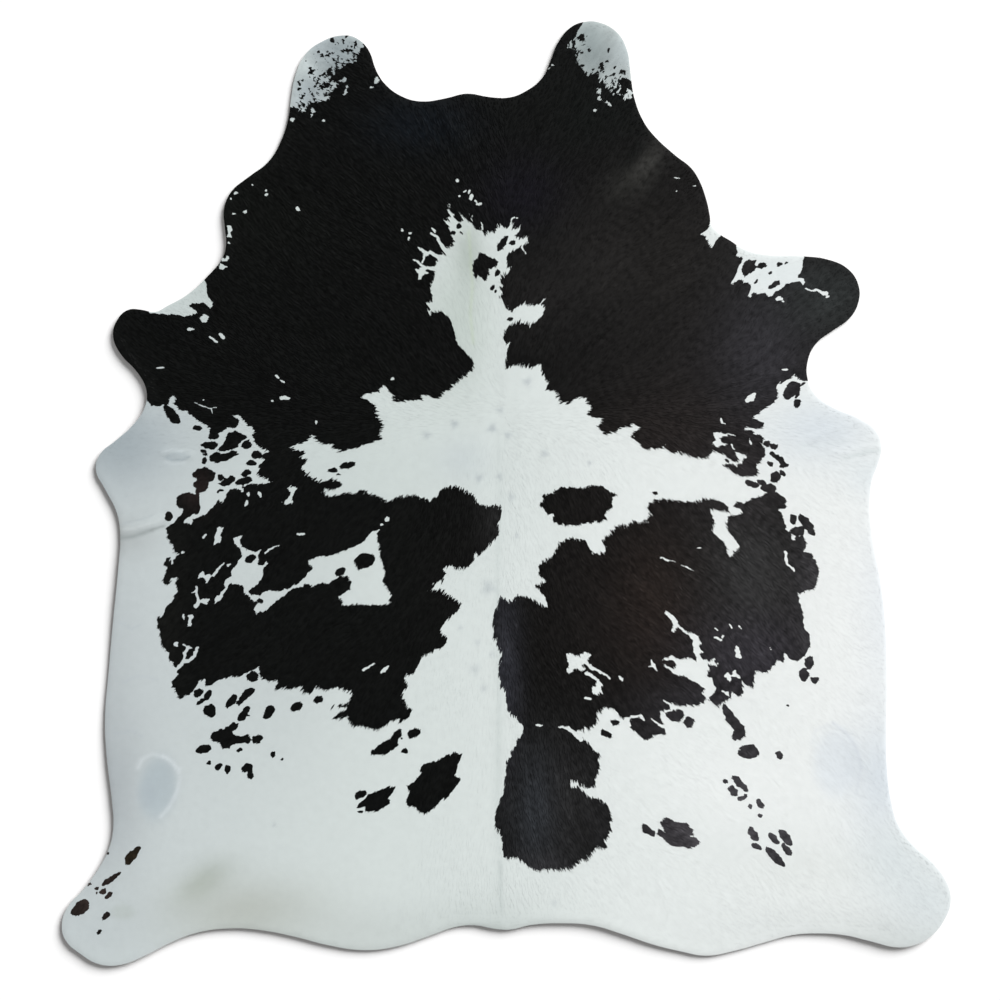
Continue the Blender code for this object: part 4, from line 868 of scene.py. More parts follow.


# Tints of the white hair, with painted light and shade among them: x, y, radius along x and along y, tilt,
# colour, strength.
whiteTintsAndPaintedLight = [
    (96, -30, 84, 150, 0, (0.770, 0.790, 0.782), 0.97),     # painted light, brighter towards the key light
    (34, -32, 26, 64, 0, (0.770, 0.800, 0.790), 0.42),
    (-40, 4, 42, 24, 0, (0.505, 0.560, 0.545), 0.75),       # band between shoulders and saddle
    (-95, -40, 42, 105, 0, (0.455, 0.497, 0.510), 0.85),    # painted shade away from the key light, and the thinner hair of the left side
    (-98, -46, 11, 52, 0, (0.345, 0.375, 0.388), 0.70),     # thin hair at the left rim, with painted shade away from the key light
    (-88, 12, 18, 13, 0, (0.350, 0.395, 0.420), 0.90),      # left elbow
    # painted shade below the crest of the left belly crease
    (-90, -10.5, 9, 5, 0, (0.300, 0.318, 0.318), 0.50),
    (-92, -70, 9, 18, 0, (0.320, 0.350, 0.368), 0.65),
    (-95, -101, 20, 10, 0, (0.450, 0.495, 0.505), 0.70),    # left hind leg
    (-70.5, -91, 8, 4, 35, (0.325, 0.362, 0.318), 0.75),    # a darker greenish grey place where the hide also dips
    (-60, -98, 19, 9, 0, (0.390, 0.415, 0.380), 0.85),
    (-34, -103, 34, 7, 0, (0.470, 0.510, 0.495), 0.60),     # rim of the rump
    (-11, 40, 9, 18, 0, (0.450, 0.510, 0.475), 0.80),       # blaze
    (-8.5, 56, 3.6, 8, 0, (0.290, 0.340, 0.300), 0.55),
    (-38, 102, 10, 12, 0, (0.215, 0.258, 0.276), 0.85),     # neck lobes
    (-46, 93, 6, 6, 0, (0.285, 0.330, 0.350), 0.85),
    (-43, 104, 4, 4, 0, (0.330, 0.375, 0.400), 0.50),
    (20, 102, 9, 12, 0, (0.215, 0.255, 0.258), 0.88),
    (28, 102, 5, 8, 0, (0.300, 0.345, 0.360), 0.60),
    (92, -105, 20, 7, 0, (0.515, 0.550, 0.540), 0.85),      # right hind leg
    (99, -95, 12, 11, 0, (0.595, 0.645, 0.660), 0.75),
    (66, -102, 26, 7, 0, (0.600, 0.630, 0.625), 0.70),
    (74, 15, 15, 9, 0, (0.605, 0.655, 0.692), 0.85),        # right elbow
    (-1.5, -60, 1.6, 60, 0, (0.500, 0.550, 0.535), 0.35),   # spine
    (-4, -101, 16, 8, 0, (0.480, 0.528, 0.512), 0.60),
    (64, 51, 12, 8, 0, (0.640, 0.695, 0.710), 0.50),
    (-72, 50, 13, 15, 0, (0.450, 0.505, 0.495), 0.80),
    (-56, -36, 22, 34, 0, (0.430, 0.472, 0.478), 0.50),
    (-66, 14, 15, 9, 0, (0.420, 0.465, 0.470), 0.45),
    (-90, 12, 9, 9, 0, (0.270, 0.315, 0.335), 0.55),
    (88, -66, 9, 16, 0, (0.570, 0.625, 0.675), 0.75),       # rim of the right flank
    (90, -86, 10, 9, 0, (0.590, 0.648, 0.665), 0.65),
    (90, -25, 8, 26, 0, (0.690, 0.725, 0.755), 0.80),
    (70, -88, 20, 6, 0, (0.650, 0.680, 0.662), 0.50),
    (-10, 8, 7, 6, 0, (0.480, 0.530, 0.545), 0.50),
    (18, 107, 6, 4, 0, (0.260, 0.310, 0.315), 0.50),
    (86, 4, 8, 6, 0, (0.640, 0.695, 0.715), 0.60),
    (56, -68, 16, 10, 0, (0.780, 0.800, 0.795), 0.45),
    (48, -98, 30, 14, 0, (0.700, 0.735, 0.725), 0.40),
]
# Marks with a clear outline, as rows of the same kind.
whiteMarks = [
    (-80.9, -68.6, 4.7, 7.9, -8, (0.362, 0.420, 0.448), 0.80),    # darker ovals in the hollows of the flanks
    (-83.4, -70.2, 2.2, 3.6, 0, (0.335, 0.380, 0.410), 0.35),
    (77.4, -62.6, 5.8, 8.6, 0, (0.600, 0.650, 0.700), 0.52),
    (-89.2, -97.6, 3.0, 1.8, -8, (0.400, 0.445, 0.425), 0.55),
    # painted shade in the wrinkle by the left elbow
    (-76.5, 8.5, 2.8, 0.7, 0, (0.330, 0.385, 0.415), 0.30),
]
# Fine lines in the white hair, among them painted shade and painted highlights along creases and hollows:
# width, colour, strength, points.
whiteLinesAndPaintedShading = [
    # Painted highlights round the upper edge of the hollow on the left flank.
    (1.0, (0.57, 0.615, 0.635), 0.45, [(-85.6, -64), (-84.7, -62), (-82.3, -60.7), (-79.7, -61.3)]),
    (1.0, (0.58, 0.625, 0.645), 0.70, [(-79.7, -61.3), (-77.7, -62.5), (-76.2, -64.4)]),
    (0.9, (0.56, 0.605, 0.625), 0.60,
     [(-76.2, -64.4), (-75.8, -66.5), (-76.5, -69.5), (-78.2, -73), (-80.3, -75.4)]),
    # Painted shadow under the crest of the left belly crease, a painted highlight on the crest, and fainter
    # painted shade above it.
    (1.0, (0.25, 0.28, 0.28), 0.60, [(-89.8, -10.4), (-87, -10.1), (-84.8, -9.4), (-82.3, -8.5)]),
    (0.6, (0.25, 0.28, 0.28), 0.60, [(-82.3, -8.5), (-79.4, -7.5)]),
    (0.8, (0.54, 0.58, 0.58), 0.40, [(-89.6, -8.5), (-86.5, -8.2), (-83, -7.2), (-80.4, -6.3)]),
    (0.6, (0.30, 0.34, 0.36), 0.25, [(-89, -7), (-85.5, -6.2), (-82.5, -5.2)]),
    # Painted shade in the wrinkle by the left elbow, with painted highlights along both sides of it.
    (0.5, (0.26, 0.31, 0.34), 0.55, [(-79, 8.4), (-77.4, 7.7), (-75.4, 7.7), (-73.6, 8.6)]),
    (0.5, (0.30, 0.35, 0.38), 0.35, [(-78.6, 8.9), (-76.6, 9.4), (-74.2, 9.1)]),
    (0.5, (0.50, 0.55, 0.57), 0.50, [(-79.4, 7.4), (-77, 6.8), (-74.4, 7.2)]),
    (0.5, (0.50, 0.55, 0.57), 0.50, [(-80.2, 9.6), (-77.6, 10.2), (-75, 9.8)]),
    # Painted shade along the folds of the right elbow.
    (0.9, (0.56, 0.62, 0.62), 0.45, [(88.2, 10), (85, 9.9), (82, 9), (79, 8.2)]),
    (1.0, (0.60, 0.65, 0.66), 0.25, [(69, 11), (74, 11.4), (79.5, 12.2)]),
    (0.6, (0.58, 0.62, 0.64), 0.30, [(82.5, 16.4), (78, 15), (74, 13), (70.5, 12.4)]),
    (0.7, (0.52, 0.56, 0.61), 0.38,
     [(76.6, -53.6), (79.3, -55.6), (81.3, -58.3), (82.4, -61), (83, -63.7)]),
    (0.7, (0.53, 0.57, 0.62), 0.34, [(83, -63.7), (82.4, -67.2), (81.9, -70)]),
    (1.0, (0.56, 0.60, 0.64), 0.22, [(76.6, -53.6), (72.4, -55.2), (71.5, -58.3)]),
    (0.8, (0.50, 0.55, 0.54), 0.40,
     [(-1.6, 14), (-1.2, 0), (-1.9, -20), (-1.4, -45), (-1.8, -75), (-1.2, -84)]),
    (1.0, (0.44, 0.49, 0.48), 0.45, [(-1.2, -86), (-0.8, -97)]),
    (0.7, (0.46, 0.54, 0.41), 0.50, [(-8.4, 61), (-8, 55), (-7.6, 48), (-8.1, 42), (-7.4, 35)]),
    (0.6, (0.40, 0.44, 0.43), 0.30, [(-92.4, -95.1), (-90.2, -94.6), (-85.6, -97.8), (-91.6, -98.4)]),
    (0.9, (0.37, 0.41, 0.38), 0.25, [(-75, -92.4), (-71, -90), (-67.5, -87)]),
    (0.9, (0.40, 0.44, 0.42), 0.20, [(-72, -92.5), (-67.4, -89.4)]),
    (0.6, (0.40, 0.44, 0.47), 0.35, [(-89, -44), (-85, -42.4), (-81, -43.4)]),
    (0.6, (0.38, 0.42, 0.45), 0.35, [(-90, -30), (-87, -31.6), (-85, -30.6)]),
    (0.6, (0.38, 0.42, 0.45), 0.35, [(-91, -56), (-87, -55.4), (-84.6, -56.6)]),
]
# Grey skin spots under thin white hair: x, y, width, depth.
skinSpots = [
    (-11.8, 16.2, 1.7, 0.55), (-18.2, 13.6, 1.6, 0.45), (-3, 15.2, 1.9, 0.55), (0.7, 13.6, 1.5, 0.50),
    (5.2, 26, 1.9, 0.50), (9.2, 9.3, 1.6, 0.45), (19.7, 7.1, 0.9, 0.55), (-1.1, 19.4, 1.5, 0.40),
    (-6.1, 3.6, 1.7, 0.45), (-1.2, 3.9, 1.5, 0.40), (1.5, -0.9, 1.6, 0.40), (2.8, -9.9, 1.3, 0.35),
    (-3.9, -22, 2.8, 0.40), (-10.4, -31.3, 1.1, 0.35), (-7, -41, 2.4, 0.28), (-3, -37.5, 1.3, 0.32),
    (-6.4, -34.7, 1.3, 0.32), (-5, -45.5, 1.8, 0.28), (-53.8, -77.3, 0.9, 0.45), (11.5, -95.5, 1.8, 0.25),
]
# Tints of the dark hair in the same way as the white one's, most of them painted sheen, lighter towards the
# key light on the right; the brown places on the left are the hair's own.
darkTintsAndPaintedSheen = [
    (50, 42, 40, 54, 0, (0.0108, 0.0100, 0.0100), 0.95),    # painted sheen on the right shoulder, towards the key light
    (8, 46, 12, 14, 0, (0.0120, 0.0112, 0.0112), 0.65),
    (24, 55, 12, 12, 0, (0.0155, 0.0146, 0.0142), 0.60),
    (42, 12, 20, 14, 0, (0.0215, 0.0175, 0.0165), 0.75),
    (60, 32, 12, 20, 0, (0.0310, 0.0300, 0.0350), 0.80),
    (75, 46, 13, 9, 0, (0.0270, 0.0305, 0.0305), 0.80),
    (56, 60, 9, 12, 0, (0.0180, 0.0180, 0.0175), 0.60),
    # A painted highlight streak on the right shoulder, with painted shade along it.
    (33, 76.8, 3.2, 7, -34, (0.0390, 0.0385, 0.0360), 0.70),
    (28, 72.2, 6.5, 3.6, 35, (0.0230, 0.0230, 0.0210), 0.50),
    (30.2, 79.4, 1.8, 5, -36, (0.0040, 0.0046, 0.0044), 0.75),
    (38, 55, 16, 18, 0, (0.0130, 0.0120, 0.0110), 0.50),
    (4, 70, 10, 9, 0, (0.0060, 0.0054, 0.0095), 0.65),
    (-20, 86, 13, 7, 0, (0.0044, 0.0068, 0.0100), 0.75),
    (44, -25, 40, 34, 0, (0.0122, 0.0103, 0.0096), 0.90),   # right saddle, painted sheen
    (35, -26, 11, 17, 0, (0.0215, 0.0152, 0.0125), 0.65),
    (58, -18, 13, 18, 0, (0.0330, 0.0330, 0.0335), 0.85),
    (58, -38, 16, 10, 0, (0.0390, 0.0365, 0.0440), 0.80),
    (72, -25, 5, 22, 0, (0.0520, 0.0500, 0.0540), 0.75),
    (48, -50, 16, 6, 0, (0.0310, 0.0300, 0.0340), 0.75),
    (0, -44, 4, 24, 0, (0.0310, 0.0320, 0.0400), 0.75),
    (11, -72, 13, 18, 0, (0.0195, 0.0195, 0.0200), 0.90),   # rump, painted sheen
    (7, -74, 5, 14, 0, (0.0270, 0.0310, 0.0370), 0.60),
    (60, -72, 26, 18, 0, (0.0600, 0.0565, 0.0630), 0.92),
    (-1, -4, 5, 14, 0, (0.0160, 0.0162, 0.0162), 0.75),     # left saddle, by the spine
    (-80, -24, 6, 28, 0, (0.0056, 0.0060, 0.0052), 0.85),
    (-60, 66, 16, 10, -30, (0.0036, 0.0044, 0.0036), 0.70),
    (54, 3, 12, 9, 0, (0.0330, 0.0305, 0.0320), 0.80),
    (42, -60, 12, 7, 0, (0.0350, 0.0335, 0.0370), 0.80),
    (50, -80, 16, 8, 0, (0.0690, 0.0650, 0.0720), 0.80),
    (8, -90, 10, 6, 0, (0.0400, 0.0395, 0.0430), 0.80),
    (-97, -92, 8, 9, 0, (0.0340, 0.0235, 0.0205), 0.85),    # brown spots of the left leg
    (-87.5, -85, 5, 5, 0, (0.0200, 0.0145, 0.0085), 0.80),
    (-72, 1, 4.2, 5, 0, (0.0165, 0.0115, 0.0108), 0.80),
    (22, 89, 15, 9, 0, (0.0030, 0.0040, 0.0036), 0.75),
]
coatColours = {
    "white": (0.560, 0.612, 0.598),
    "dark": (0.0026, 0.0030, 0.0028),
    "skin": (0.30, 0.34, 0.37),
}
colourSizes = {
    "fall": 1.2,                        # how far a tint has faded at its radius
    "tintEdge": 1,                      # how suddenly a tint ends, and a mark
    "markEdge": 3,
    "spotOutline": (0.5, 0.10, 0.07),   # a skin spot's radius, and its waves, as shares of its width
    "spotFall": 2.4,
    "lobesFrom": 88,                    # the neck lobes begin at this height, in cm
    "mottle": [(0.009, 0.02, 8.1), (0.03, 0.04, 2.7)],   # their noise: width, length, seed
    "mottleDeep": 0.10,
    "streaks": (0.010, 0.10, 21.3),     # the dark hair's streaky painted sheen, as noise in the same way
    "streaksDeep": 0.5,
}


def mixIn(colour, target, share):
    # Changes the given colours, each by its own share.
    colour += (np.array(target) - colour) * share[:, None]


def tintAt(colour, px, py, tint, hardness):
    cx, cy, rx, ry, tilt, target, strength = tint
    turn = math.radians(tilt)
    u = ((px - cx) * math.cos(turn) + (py - cy) * math.sin(turn)) / rx
    v = ((py - cy) * math.cos(turn) - (px - cx) * math.sin(turn)) / ry
    mixIn(colour, target, strength * np.exp(-(u * u + v * v) ** hardness * colourSizes["fall"]))


def whiteColourAndLight(x, y):
    # Tints first, with painted light and shade, then the marks, the fine lines with painted shade and
    # highlights, and the skin spots over them.
    px, py = patternPlace(x, y)
    colour = np.tile(np.array(coatColours["white"], float), (len(x), 1))
    for tint in whiteTintsAndPaintedLight:
        tintAt(colour, px, py, tint, colourSizes["tintEdge"])
    for mark in whiteMarks:
        tintAt(colour, px, py, mark, colourSizes["markEdge"])
    for width, target, strength, points in whiteLinesAndPaintedShading:
        near = np.full(len(x), farOff)
        for a, b in zip(points, points[1:]):
            near = np.minimum(near, lineDistance(px, py, a, b))
        mixIn(colour, target, strength * np.exp(-(near / width * 2) ** 2))
    half, three, five = colourSizes["spotOutline"]
    for cx, cy, width, deep in skinSpots:
        turn = np.arctan2(py - cy, px - cx)
        reach = width * (half + three * np.sin(3 * turn + cx) + five * np.sin(5 * turn + cy))
        away = np.hypot(px - cx, py - cy) / reach
        mixIn(colour, coatColours["skin"], deep * np.exp(-away ** colourSizes["spotFall"]))
    lobes = py > colourSizes["lobesFrom"]
    mottle = sum(hairNoise(x[lobes], y[lobes], *sizes) for sizes in colourSizes["mottle"])
    colour[lobes] *= (1 + colourSizes["mottleDeep"] * mottle)[:, None]
    return np.column_stack([colour, np.ones(len(x))])


def darkColourAndSheen(x, y):
    # The lighter places of the dark hair are painted sheen, streaky along the hair.
    px, py = patternPlace(x, y)
    colour = np.tile(np.array(coatColours["dark"], float), (len(x), 1))
    for tint in darkTintsAndPaintedSheen:
        tintAt(colour, px, py, tint, colourSizes["tintEdge"])
    streaks = np.clip(hairNoise(x, y, *colourSizes["streaks"]), -1, 1)
    colour *= (1 + colourSizes["streaksDeep"] * streaks)[:, None]
    return np.column_stack([colour, np.ones(len(x))])


def link(tree, start, end):
    tree.links.new(start, end)


def shaderNode(tree, kind, **inputs):
    node = tree.nodes.new(kind)
    for name, value in inputs.items():
        node.inputs[name.replace("_", " ")].default_value = value
    return node


def newMaterial(name):
    material = bpy.data.materials.new(name)
    material.use_nodes = True
    tree = material.node_tree
    return material, tree, tree.nodes["Principled BSDF"]


def attributeNode(tree, name):
    node = tree.nodes.new("ShaderNodeAttribute")
    node.attribute_name = name
    return node


# Noise in the materials: scale, detail, roughness.
materialNoise = {
    "clumps": (55.0, 4.0, 0.6), "strands": (620.0, 2.0, 0.6),
    "blotches": (9.0, 5.0, 0.6), "nap": (900.0, 3.0, 0.7),
}


def noiseNode(tree, place, kind):
    scale, detail, roughness = materialNoise[kind]
    node = shaderNode(tree, "ShaderNodeTexNoise", Scale=scale, Detail=detail, Roughness=roughness)
    link(tree, place.outputs["Object"], node.inputs["Vector"])
    return node


# Roughness, shine, how far the colour of single clumps strays and how deep the strands are, for
# each kind of hair.
finishes = {
    "whiteHair": {"tint": "whiteTintAndLight", "roughness": 0.62, "shine": 0.12, "stray": 0.018, "strand": 0.0001},
    "blackHair": {"tint": "darkTintAndSheen", "roughness": 0.44, "shine": 0.07, "stray": 0.24, "strand": 0.0005},
    "hairBed": {"tint": "whiteTintAndLight", "roughness": 0.62, "shine": 0.08, "stray": 0.02, "strand": 0.0001},
}
hairFinish = {
    "clumpRange": (0.3, 0.7),   # the noise between these values fills the whole range of colour
    "roughnessStray": 0.08,
    "strandBump": 0.35,
    "edgeBlend": 0.0004,        # half the width in which the bed turns from white to dark
}
suedeFinish = {
    "low": (0.3, (0.30, 0.27, 0.235, 1)), "high": (0.7, (0.44, 0.41, 0.37, 1)),
    "napBump": (0.5, 0.0005), "roughness": 0.92, "sheen": 0.2,
}


def hairMaterial(name):
    # Colour from the piece's own tint, which carries painted light and sheen, broken up at two scales, with
    # fine strands as bump.
    finish = finishes[name]
    material, tree, shader = newMaterial(name)
    place = tree.nodes.new("ShaderNodeTexCoord")
    tint = attributeNode(tree, finish["tint"])
    clumps = noiseNode(tree, place, "clumps")
    strands = noiseNode(tree, place, "strands")
    low, high = hairFinish["clumpRange"]
    tone = shaderNode(tree, "ShaderNodeMapRange", From_Min=low, From_Max=high,
                      To_Min=1 - finish["stray"], To_Max=1 + finish["stray"])
    shaded = tree.nodes.new("ShaderNodeVectorMath")
    shaded.operation = "SCALE"
    gloss = shaderNode(tree, "ShaderNodeMapRange",
                       To_Min=finish["roughness"] - hairFinish["roughnessStray"],
                       To_Max=finish["roughness"] + hairFinish["roughnessStray"])
    bump = shaderNode(tree, "ShaderNodeBump", Strength=hairFinish["strandBump"],
                      Distance=finish["strand"])
    link(tree, clumps.outputs["Fac"], tone.inputs["Value"])
    link(tree, tint.outputs["Color"], shaded.inputs[0])
    link(tree, tone.outputs["Result"], shaded.inputs["Scale"])
    link(tree, shaded.outputs["Vector"], shader.inputs["Base Color"])
    link(tree, clumps.outputs["Fac"], gloss.inputs["Value"])
    link(tree, gloss.outputs["Result"], shader.inputs["Roughness"])
    link(tree, strands.outputs["Fac"], bump.inputs["Height"])
    link(tree, bump.outputs["Normal"], shader.inputs["Normal"])
    shader.inputs["Specular IOR Level"].default_value = finish["shine"]
    return material


def bedMaterial():
    # The hair between the drawn locks: white or dark by the coat pattern.
    material = hairMaterial("hairBed")
    tree = material.node_tree
    shader = tree.nodes["Principled BSDF"]
    shaded = shader.inputs["Base Color"].links[0].from_socket
    dark = attributeNode(tree, "darkTintAndSheen")
    pattern = attributeNode(tree, "pattern")
    side = shaderNode(tree, "ShaderNodeMapRange", From_Min=-hairFinish["edgeBlend"],
                      From_Max=hairFinish["edgeBlend"])
    # For colours, the mix takes its inputs 6 and 7 and its output 2.
    mix = tree.nodes.new("ShaderNodeMix")
    mix.data_type = "RGBA"
    link(tree, pattern.outputs["Fac"], side.inputs["Value"])
    link(tree, side.outputs["Result"], mix.inputs["Factor"])
    link(tree, shaded, mix.inputs[6])
    link(tree, dark.outputs["Color"], mix.inputs[7])
    link(tree, mix.outputs[2], shader.inputs["Base Color"])
    return material


def suedeMaterial():
    # Blotched suede with a fine nap as bump.
    material, tree, shader = newMaterial("suede")
    place = tree.nodes.new("ShaderNodeTexCoord")
    blotches = noiseNode(tree, place, "blotches")
    nap = noiseNode(tree, place, "nap")
    ramp = tree.nodes.new("ShaderNodeValToRGB")
    for stop, end in zip(ramp.color_ramp.elements, ("low", "high")):
        stop.position, stop.color = suedeFinish[end]
    strength, distance = suedeFinish["napBump"]
    bump = shaderNode(tree, "ShaderNodeBump", Strength=strength, Distance=distance)
    link(tree, blotches.outputs["Fac"], ramp.inputs["Fac"])
    link(tree, ramp.outputs["Color"], shader.inputs["Base Color"])
    link(tree, nap.outputs["Fac"], bump.inputs["Height"])
    link(tree, bump.outputs["Normal"], shader.inputs["Normal"])
    shader.inputs["Roughness"].default_value = suedeFinish["roughness"]
    shader.inputs["Sheen Weight"].default_value = suedeFinish["sheen"]
    return material


lockSizes = {
    "length": 0.022,       # a lock of lying hair
    "width": 0.0034,
    "edgeLong": 0.68,      # share of the length that locks keep at a patch edge
    "edgeWide": 0.50,      # and of the width
    "edgeBand": 0.011,     # how far from the edge they reach their full size
    "edgeCrowd": 3.4,      # how many times denser they stand there
    "density": 21000,      # locks to a square metre away from the edges
    "rimFree": 0.0022,     # no lock starts closer to the cut edge than this
    "rimLong": 0.004,      # longest lock at the cut edge
    "rimGrows": 0.45,      # and how much longer with each metre from it
    "sway": 11,            # degrees that single locks stray from the flow
    "vary": (0.6, 1.3),    # shares of its size that a single lock gets, from and to
    "varySeed": 31,        # added to the coat's own seed for that
    "flank": 0.8,          # height of a lock's two sides, as a share of its rise there
}
# How each coat's locks stand: rise of the middle, tip and roll in degrees, and how much of
# their own slope shows, where the rest follows the bed.
coatForms = {
    "white": {"rise": 0.0002, "tip": 1.2, "roll": 2, "relief": 0.04, "keeps": "whiteTintAndLight"},
    "dark": {"rise": 0.0010, "tip": 4, "roll": 16, "relief": 0.55, "keeps": "darkTintAndSheen"},
}


def buildHairBed():
    # The lying hair as one surface, which also carries the values that the locks grow by.
    x, y = bedPoints()
    places, faces = flatMesh(x, y)
    x, y = places[:, 0], places[:, 1]
    gap = np.maximum(areaDistance(x, y, roughRim), 0)
    gap[:len(rim)] = 0
    room = hideSizes["lockRoom"] * np.clip(gap / hideSizes["rimSlope"], 0, 1)
    height = coatHeight(x, y, gap) - room
    bed = newPiece("hairBed", np.column_stack([places, height]), faces)
    # The pile evens the lifted rim out, so the light falls on it much as on a flat one.
    lit = vertexValues(bed.data, "normal")
    lit[:, :2] *= (1 - hideSizes["rimEven"] * (1 - smooth(gap, 0, hideSizes["curlWide"])))[:, None]
    lit /= np.linalg.norm(lit, axis=1)[:, None]
    lifted = np.column_stack([places, height + rimCurl(x, y, gap)])
    bed.data.vertices.foreach_set("co", lifted.astype(np.float32).ravel())
    bed.data.update()
    addValues(bed, "bedNormal", "FLOAT_VECTOR", vertexValues(bed.data, "normal"))
    addValues(bed, "litNormal", "FLOAT_VECTOR", lit)
    field, teeth = coatPattern(x, y)
    close = np.abs(field) < patternSizes["raggedBand"]
    ragged = hairNoise(x[close], y[close], patternSizes["raggedWide"], patternSizes["raggedLong"],
                       patternSizes["raggedSeed"])
    field[close] += ragged * patternSizes["raggedDeep"] * teeth[close]
    heading = hairHeading(x, y)
    inner = np.clip(np.abs(field) / lockSizes["edgeBand"], 0, 1)
    long = lockSizes["edgeLong"] * teeth * (1 - inner) + inner
    long = np.minimum(long, (lockSizes["rimLong"] + lockSizes["rimGrows"] * gap) / lockSizes["length"])
    wide = lockSizes["edgeWide"] * (1 - inner) + inner
    addValues(bed, "pattern", "FLOAT", field)
    addValues(bed, "rimGap", "FLOAT", gap)
    addValues(bed, "lockLong", "FLOAT", long)
    addValues(bed, "lockWide", "FLOAT", wide)
    addValues(bed, "crowd", "FLOAT", lockSizes["edgeCrowd"] * (1 - inner) + inner)
    addValues(bed, "flow", "FLOAT_VECTOR",
              np.column_stack([np.cos(heading), np.sin(heading), np.zeros(len(x))]))
    addValues(bed, "whiteTintAndLight", "FLOAT_COLOR", whiteColourAndLight(x, y))
    addValues(bed, "darkTintAndSheen", "FLOAT_COLOR", darkColourAndSheen(x, y))
    bed.data.materials.append(bedMaterial())
    flatMap(bed)
    bed.data.normals_split_custom_set_from_vertices(lit.tolist())
    return bed


suedeSizes = {
    "step": 0.034,                      # spacing of the points on the underside
    "middle": 0.012,                    # how far within the lifted band they begin
    "rings": (0.25, 0.55, 0.9, 1.3),    # rows of points in that band, as shares of its width
    "ringClear": 0.9,                   # share of that distance that they keep from every rim
    "sharp": 40,                        # degrees from which an edge is drawn sharp
}


def buildLeather():
    # A thin closed slab: suede below, cut edge, and the grain side under the hair.
    x, y = lattice(suedeSizes["step"], cadLow, cadHigh)
    x, y = insideOfRim(x, y, hideSizes["curlWide"] + suedeSizes["middle"])
    for deep in suedeSizes["rings"]:
        ring = inwards(rim, deep * hideSizes["curlWide"])[::2]
        rx, ry = insideOfRim(ring[:, 0], ring[:, 1], deep * hideSizes["curlWide"] * suedeSizes["ringClear"])
        x, y = np.concatenate([x, rx]), np.concatenate([y, ry])
    places, faces = flatMesh(x, y)
    count = len(places)
    gap = np.maximum(areaDistance(places[:, 0], places[:, 1], roughRim), 0)
    gap[:len(rim)] = 0
    lift = rimCurl(places[:, 0], places[:, 1], gap)
    thick = hideSizes["leather"] - hideSizes["grainDrop"] * np.clip(gap / hideSizes["rimSlope"], 0, 1)
    low = np.column_stack([places, lift])
    high = np.column_stack([places, lift + thick])
    sides = [(i, (i + 1) % len(rim), (i + 1) % len(rim) + count, i + count) for i in range(len(rim))]
    under = [face[::-1] for face in faces]
    over = [tuple(i + count for i in face) for face in faces]
    leather = newPiece("leather", np.vstack([low, high]), under + sides + over)
    leather.data.materials.append(suedeMaterial())
    leather.data.set_sharp_from_angle(angle=math.radians(suedeSizes["sharp"]))
    return leather


hairBed = buildHairBed()
print("hair bed has", len(hairBed.data.polygons), "triangles")
leather = buildLeather()
print("leather has", len(leather.data.polygons), "faces")

# Place along the lock, width and height at it, as shares of its length, width and rise.
lockShape = [(-0.45, 0.0, 0.0), (-0.16, 1.0, 0.9), (0.20, 0.7, 1.0), (0.55, 0.0, 0.2)]
# Coat, from and to along y, seed.
coatPieces = {
    "darkFront": ("dark", -0.005, 2.0, 11), "darkBack": ("dark", -2.0, -0.005, 12),
    "whiteFront": ("white", -0.31, 2.0, 13), "whiteBack": ("white", -2.0, -0.31, 14),
}


def buildLock():
    # One pointed lock of four triangles.
    places = []
    for along, wide, high in lockShape:
        if wide == 0:
            places.append((0, along, high))
        else:
            places.extend([(side * wide / 2, along, high * lockSizes["flank"]) for side in (-1, 1)])
    return newPiece("lock", np.array(places), [(0, 2, 1), (1, 2, 4, 3), (3, 4, 5)])


